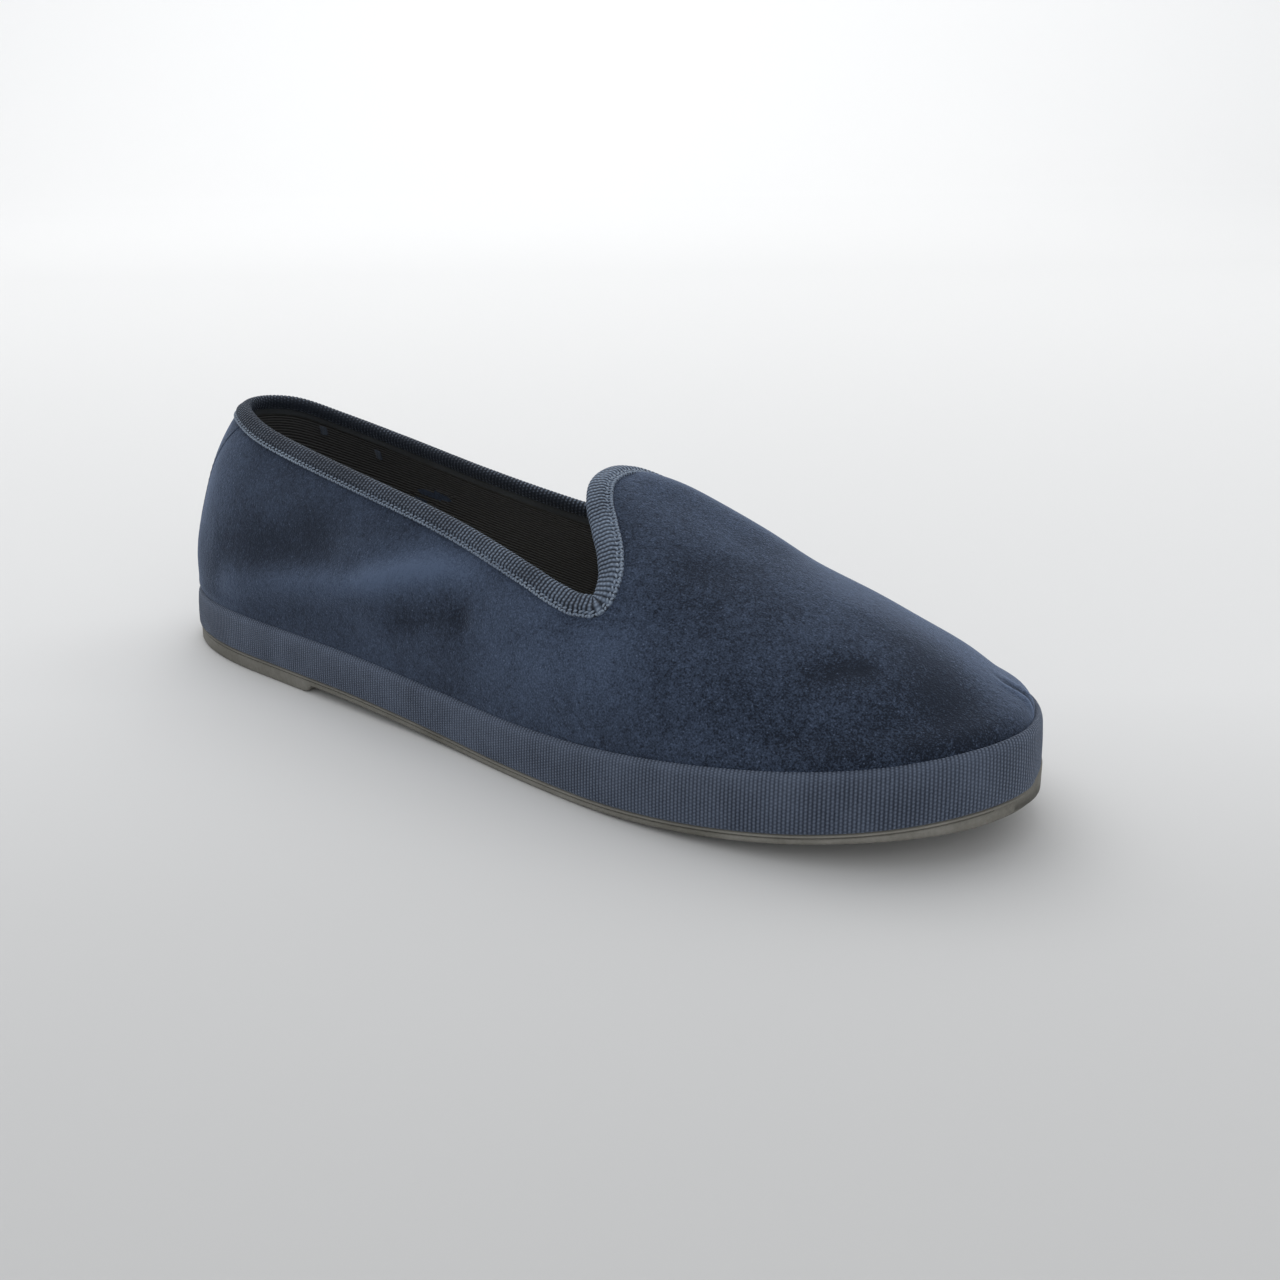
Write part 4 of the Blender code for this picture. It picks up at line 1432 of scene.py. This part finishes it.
    def sew(self, leg: List[Tuple[Array, Array]]) -> None:
        """Lays the stitches in their groove, the loops of the tape's edge, and the tacks inside.

        The real thread is near 0.3 mm; it is drawn thicker so that it shows.

        Args:
            leg: points and normals of the outer leg, row by row from the collar down.
        """
        thread = THREAD.material()
        seam = Stitching(pitch=1.5 * MM, long=1.15 * MM, thick=0.5 * MM, sink=0.0, slant=0.45)
        loops = Stitching(pitch=0.85 * MM, long=0.9 * MM, thick=0.5 * MM, sink=0.0, slant=0.9, zigzag=True)
        rows = (
            ("collar_stitches", self.leg - self.seam_up, seam),
            ("collar_edge_loops", self.leg - self.loops_up, loops),
        )
        for name, depth, stitches in rows:
            k = depth / self.leg * (len(leg) - 1)
            (p, n), (q, m) = leg[int(k)], leg[int(k) + 1]
            share = k - int(k)
            up = unit(n + (m - n) * share)
            line = p + (q - p) * share + up * (self.stand + self.thread_lift)
            line, up = np.vstack([line, line[:1]]), np.vstack([up, up[:1]])
            dress(stitches.build(name, line, up, thread), "tape")
        self.tack()

    def tack(self) -> None:
        """Sews the two bar tacks inside the heel, where the stretch tape under the collar ends."""
        surface = self.surface
        bars = Stitching(pitch=0.42 * MM, long=2.4 * MM, thick=0.55 * MM, sink=0.0, slant=9.0)
        for side in (Side.MEDIAL, Side.LATERAL):
            for k, (station, roll) in enumerate(zip(self.tack_stations, self.tack_rolls), start=1):
                rolls = roll + np.linspace(0, self.tack_run, 12)
                x = surface.last.place(np.full(12, station))
                at, _, _, normal = surface.slopes(surface.chart(x, rolls, side))
                line = at - normal * (surface.last.wall + 0.4 * MM)
                name = f"bar_tack_{side.name.lower()}_{k}"
                dress(bars.build(name, line, -normal, TACK_THREAD.material()), "tape")


@dataclass
class SoleUnit:
    """Outsole, platform, ribbon band and sock, each drawn from the sole's outline."""

    last: Last
    # Its crest colour is painted highlight on the ribs and its valley colour painted shade between them
    ribbon: Grosgrain = Grosgrain("navy_grosgrain_band", "#626d80", "#252c3a", 0.90)
    columns_per_rib: int = 6
    rib_height: float = 0.11 * MM
    lip: float = 1.9 * MM
    lean: float = 0.6 * MM
    steps: int = 220
    outsole_inset: float = 0.4 * MM
    chamfer: float = 0.6 * MM
    step_run: float = 1.6 * MM
    sock: float = 2.5 * MM
    toe_thicker: float = 1.3 * MM
    wrap_rise: float = 2.5 * MM
    wrap_stand: float = 0.35 * MM
    # Headings between which the rubber wraps the toe, in degrees from straight ahead towards
    # the inner side, and the angles over which it rises at each end
    wrap_from: float = -22.0
    wrap_to: float = 94.0
    wrap_rises: Tuple[float, float] = (45.0, 30.0)
    # Painted highlight along the band's rounded lip
    painted_lip_highlight: float = 0.16

    def plate(self, name: str, levels: Levels, material: Material) -> Piece:
        """A slab from outline rings, capped below and above.

        Args:
            name: the object's name.
            levels: insets with height functions, bottom first.
            material: its finish.

        Returns:
            The object.
        """
        rings = []
        for inset, height in levels:
            ring = self.last.ring(inset, self.steps)
            rings.append(np.column_stack([ring, height(ring[:, 0])]))
        grid = np.array(rings)
        faces, _, _ = Sheet(grid, wrap_rows=False).quads()
        count = grid.shape[1]
        i = np.arange(count // 2)
        cap = np.column_stack([i, i + 1, count - i - 1, (count - i) % count])
        cap[0] = (0, 1, count - 1, count - 1)
        cap[-1] = (count // 2 - 1, count // 2, count // 2 + 1, count // 2 + 1)
        top = cap + (len(rings) - 1) * count
        return make_piece(name, grid.reshape(-1, 3), np.vstack([faces, cap[:, ::-1], top]), material)

    def tread(self, x: Array) -> Array:
        """Tread face: flat under the heel, a short ramp to the sole line, thicker at the toe.

        Args:
            x: places along X.

        Returns:
            Heights over the floor.
        """
        front = self.last.place(self.last.heel_front)
        ramp = np.clip((x - front) / self.step_run, 0, 1)
        toe = np.clip((self.last.station(x) - 0.88) / 0.10, 0, 1)
        return self.last.sole_line(x) * ramp * ramp * (3 - 2 * ramp) - self.toe_thicker * toe * toe

    def build(self) -> None:
        """Builds the four layers of the sole."""
        last = self.last
        edge = self.outsole_inset
        levels = (
            (edge + self.chamfer, self.tread),
            (edge + self.chamfer * 0.3, lambda x: self.tread(x) + self.chamfer * 0.3),
            (edge, lambda x: self.tread(x) + self.chamfer),
            (edge, lambda x: last.sole_line(x) + last.outsole - 0.3 * MM),
            (edge + 0.2 * MM, lambda x: last.sole_line(x) + last.outsole),
        )
        dress(self.plate("outsole_rubber", levels, RUBBER.material()), "rubber", "outsole")
        self.wrap_toe()
        core = last.band_thickness + last.gap
        levels = (
            (edge / 2 + 0.1 * MM, last.midsole_foot),
            (edge / 2, lambda x: last.midsole_foot(x) + last.flange / 2),
            (edge / 2 + 0.1 * MM, lambda x: last.midsole_foot(x) + last.flange),
            (core, lambda x: last.midsole_foot(x) + last.flange),
            (core, lambda x: last.midsole_foot(x) + last.platform),
        )
        dress(self.plate("platform_board", levels, BOARD.material()), "board", "midsole")
        inset = last.inset + last.wall + 0.6 * MM
        levels = (
            (inset, last.upper_foot),
            (inset + 0.8 * MM, lambda x: last.upper_foot(x) + self.sock * 0.7),
            (inset + 1.8 * MM, lambda x: last.upper_foot(x) + self.sock),
        )
        dress(self.plate("sock_cloth", levels, SOCK.material()), "sock", "insole")
        self.build_band()

    def wrap_toe(self) -> None:
        """Carries the rubber up over the foot of the band, round the tip and its inner side.

        Its section is swept along the outline between two headings, and sinks back into the
        outsole by a smooth step at each end.
        """
        last = self.last
        fine = last.ring(0.0, 600)
        along = unit(np.roll(fine, -1, axis=0) - np.roll(fine, 1, axis=0))
        inward = np.column_stack([along[:, 1], -along[:, 0]])
        turn = np.degrees(np.arctan2(-inward[:, 1], -inward[:, 0]))
        start, end = self.wrap_from, self.wrap_to
        here = np.flatnonzero((turn > start - 2) & (turn < end + 2) & (fine[:, 0] > 0))
        here = here[np.argsort(turn[here])]
        ring, inward, turn = fine[here], inward[here], turn[here]
        rise, fall = self.wrap_rises
        full = np.clip((turn - start) / rise, 0, 1) * np.clip((end - turn) / fall, 0, 1)
        full = full * full * (3 - 2 * full)
        sole, foot = last.sole_line(ring[:, 0]), last.band_foot(ring[:, 0])
        back = self.outsole_inset + 0.1 * MM
        out = back - (back + self.wrap_stand) * full
        top = foot - 0.3 * MM + self.wrap_rise * full
        rows = (
            (out, self.tread(ring[:, 0]) + self.chamfer),
            (out, top - 0.3 * MM * full),
            (out + 0.15 * MM, top),
            (out + 0.5 * MM, top),
            (out + 0.9 * MM, sole + last.outsole / 2),
        )
        grid = np.array([np.column_stack([ring + inward * inset[:, None], z]) for inset, z in rows])
        faces, _, _ = Sheet(grid, wrap_columns=False).quads()
        count = grid.shape[1]
        a, b, c, d, e = np.arange(len(rows)) * count
        caps = np.array([[a, b, c, d], [a, d, e, e]])
        shell = np.vstack([faces, caps, caps[:, ::-1] + count - 1])
        piece = make_piece("outsole_toe_wrap", grid.reshape(-1, 3), shell, RUBBER.material())
        dress(piece, "rubber", "outsole")

    def build_band(self) -> None:
        """Sweeps the ribbon's section round the sole, with a rounded lip, a painted highlight along it and
        real cross ribs.

        The ribs are the root of a sine's size along the outline. The lip is half an ellipse, and
        the band leans in by the cube of the height.
        """
        last = self.last
        fine = last.ring(0.0, 1500)
        closed = np.vstack([fine, fine[:1]])
        lengths = lengths_along(closed)
        ribs = int(round(lengths[-1] / (self.ribbon.rib_mm * MM)))
        columns = ribs * self.columns_per_rib
        ring = resample(closed, lengths, np.arange(columns) * lengths[-1] / columns)
        along = unit(np.roll(ring, -1, axis=0) - np.roll(ring, 1, axis=0))
        inward = np.column_stack([along[:, 1], -along[:, 0]])
        rib = self.rib_height * np.sqrt(np.abs(np.sin(np.pi * np.arange(columns) / self.columns_per_rib)))
        foot, top = last.band_foot(ring[:, 0]), last.band_top(ring[:, 0])
        straight = top - foot - self.lip
        thick = last.band_thickness
        rows = [(np.full(columns, 0.35 * MM), foot), (0.05 * MM - 0.3 * rib, foot + 0.35 * MM)]
        rows += [(-rib, foot + share * straight) for share in (0.08, 0.4, 0.7, 1.0)]
        for turn in np.linspace(0, np.pi, 10)[1:]:
            fall = self.lip if turn < np.pi / 2 else self.lip / 2
            reach = thick / 2 * (1 - np.cos(turn))
            rows.append((reach - rib * np.cos(turn), top - fall * (1 - np.sin(turn)) + rib * np.sin(turn)))
        rows.append((np.full(columns, thick), foot))
        grid = []
        for inset, z in rows:
            lean = self.lean * np.clip((z - foot) / (top - foot), 0, 1) ** 3
            grid.append(np.column_stack([ring + inward * (inset + lean)[:, None], z]))
        sheet = Sheet(np.array(grid), step=self.ribbon.rib_mm * MM / self.columns_per_rib)
        band = make_sheet("ribbon_band", sheet, self.ribbon.material())
        # Painted highlight: the rows round the lip are made paler
        lip = np.exp(-(((np.arange(len(rows)) - 6.5) / 1.6) ** 2))
        paint_tone_and_light(band, np.repeat(self.painted_lip_highlight * lip, columns))
        dress(band, "ribbon", "sole_band")


@dataclass(frozen=True)
class Studio:
    """A pale floor, soft lights and the camera at the photograph's angle to the shoe."""

    azimuth: float = 39.0
    elevation: float = 18.3
    roll: float = -0.8
    distance: float = 0.415
    pixels_per_mm: float = 3.943
    centre: Tuple[float, float] = (558.7, 595.8)
    target: Point = (0.0, 0.0014, 0.030)
    frame_pixels: float = 1280.0
    # Where the paper's first and last painted tone lie, along the view from the shoe
    falloff_span: Tuple[float, float] = (-0.25, 2.6)
    world_tone: str = "#f4f6f8"
    world_strength: float = 0.64
    # Shares of the way from before the shoe to the upright paper, with the paper's tone there: painted darker
    # near the camera and paler up the wall, a painted light falloff
    tones: Tuple[Tuple[float, str], ...] = (
        (0.00, "#bebebe"),
        (0.05, "#cccccc"),
        (0.09, "#dbdbdb"),
        (0.40, "#dadada"),
        (1.00, "#f9f9f9"),
    )

    def build(self) -> None:
        """Sets up floor, lights, world and camera."""
        self.add_sweep()
        self.add_light("key", (-0.66, 0.34, 1.30), 1.5, 9.5)
        self.add_light("rim", (0.30, 1.00, 0.90), 0.8, 2.0)
        self.add_light("fill", (0.95, -0.75, 0.45), 1.2, 3.5)
        self.add_light("wash", (-0.70, 0.86, 2.60), 1.6, 36.5, (-1.64, 2.02, 1.90))
        world = bpy.data.worlds.new("soft_studio")
        world.use_nodes = True
        tree = world.node_tree
        constants = {"Color": linear(self.world_tone), "Strength": self.world_strength}
        set_inputs(tree, tree.nodes["Background"], constants)
        bpy.context.scene.world = world
        bpy.context.scene.view_settings.view_transform = "Standard"
        self.add_camera()

    def add_sweep(self) -> None:
        """Paper that lies on the floor and curves up behind the shoe, seen from the camera.

        The grid runs across the view and along a profile: flat, a quarter circle, then upright.
        """
        near, flat, bend, tall, half = -2.5, 1.6, 1.0, 2.5, 4.0
        turn = np.linspace(0, np.pi / 2, 25)
        out = np.r_[near, -0.5, 0.0, 0.5, flat + bend * np.sin(turn), flat + bend]
        up = np.r_[0.0, 0.0, 0.0, 0.0, bend * (1 - np.cos(turn)), bend + tall]
        a = np.radians(self.azimuth)
        away, level = np.array([-np.sin(a), np.cos(a)]), np.array([np.cos(a), np.sin(a)])
        plan = out[:, None, None] * away + np.array([-half, half])[None, :, None] * level
        grid = np.concatenate([plan, np.repeat(up[:, None, None], 2, axis=1)], axis=2)
        sheet = Sheet(grid[:, ::-1], wrap_rows=False, wrap_columns=False)
        make_sheet("paper_sweep", sheet, self.paper())

    def paper(self) -> Material:
        """Matt paper painted to pale away from the shoe as a painted light falloff, as the photograph's
        ground does.

        Returns:
            The material.
        """
        material, shader = new_material("pale_paper_painted_falloff", {"Roughness": 0.95, "Specular IOR Level": 0.05})
        tree = material.node_tree
        place = add_node(tree, "TexCoord").outputs["Object"]
        a = np.radians(self.azimuth)
        away = (-np.sin(a), np.cos(a), 0.0)
        depth = add_node(tree, "VectorMath", {0: place, 1: away}, operation="DOT_PRODUCT")
        near, far = self.falloff_span
        share = add_node(tree, "MapRange", {0: depth.outputs["Value"], 1: near, 2: far, 3: 0.0, 4: 1.0})
        ramp = add_node(tree, "ValToRGB", {0: share})
        stops = ramp.color_ramp.elements
        while len(stops) < len(self.tones):
            stops.new(1.0)
        for stop, (position, tone) in zip(stops, self.tones):
            stop.position = position
            stop.color = linear(tone)
        set_inputs(tree, shader, {"Base Color": ramp})
        return material

    def add_light(
        self, name: str, place: Point, size: float, power: float, aim: Optional[Point] = None
    ) -> None:
        """A square soft light.

        Args:
            name: its name.
            place: where it stands.
            size: its side in metres.
            power: its power in watts.
            aim: what it faces, or None for the shoe.
        """
        light = bpy.data.lights.new(name, "AREA")
        light.size = size
        light.energy = power
        lamp = bpy.data.objects.new(name, light)
        lamp.location = place
        lamp.rotation_euler = (Vector(aim or self.target) - Vector(place)).to_track_quat("-Z", "Y").to_euler()
        bpy.context.scene.collection.objects.link(lamp)

    def add_camera(self) -> None:
        """The camera that was fitted to the photograph's outlines."""
        a, e, r = np.radians([self.azimuth, self.elevation, self.roll])
        back = Vector((np.sin(a) * np.cos(e), -np.cos(a) * np.cos(e), np.sin(e)))
        level = Vector((np.cos(a), np.sin(a), 0))
        upright = back.cross(level)
        right = level * np.cos(r) + upright * np.sin(r)
        up = upright * np.cos(r) - level * np.sin(r)
        eye = Vector(self.target) + back * self.distance
        data = bpy.data.cameras.new("camera")
        focal = self.pixels_per_mm * self.distance / MM
        data.lens = focal / self.frame_pixels * data.sensor_width
        data.shift_x = 0.5 - self.centre[0] / self.frame_pixels
        data.shift_y = self.centre[1] / self.frame_pixels - 0.5
        data.clip_start, data.clip_end = 0.01, 20.0
        camera = bpy.data.objects.new("camera", data)
        camera.matrix_world = Matrix(
            [(right[i], up[i], back[i], eye[i]) for i in range(3)] + [(0.0, 0.0, 0.0, 1.0)]
        )
        bpy.context.scene.collection.objects.link(camera)
        bpy.context.scene.camera = camera


def main() -> None:
    """Dresses the slipper, sole first, and sets up the studio."""
    logging.basicConfig(level=logging.INFO, format="%(name)s %(message)s")
    last = Last()
    surface = LastSurface(last)
    SoleUnit(last).build()
    Upper(surface).build()
    Collar(surface).build()
    Studio().build()


if __name__ == "__main__":
    main()
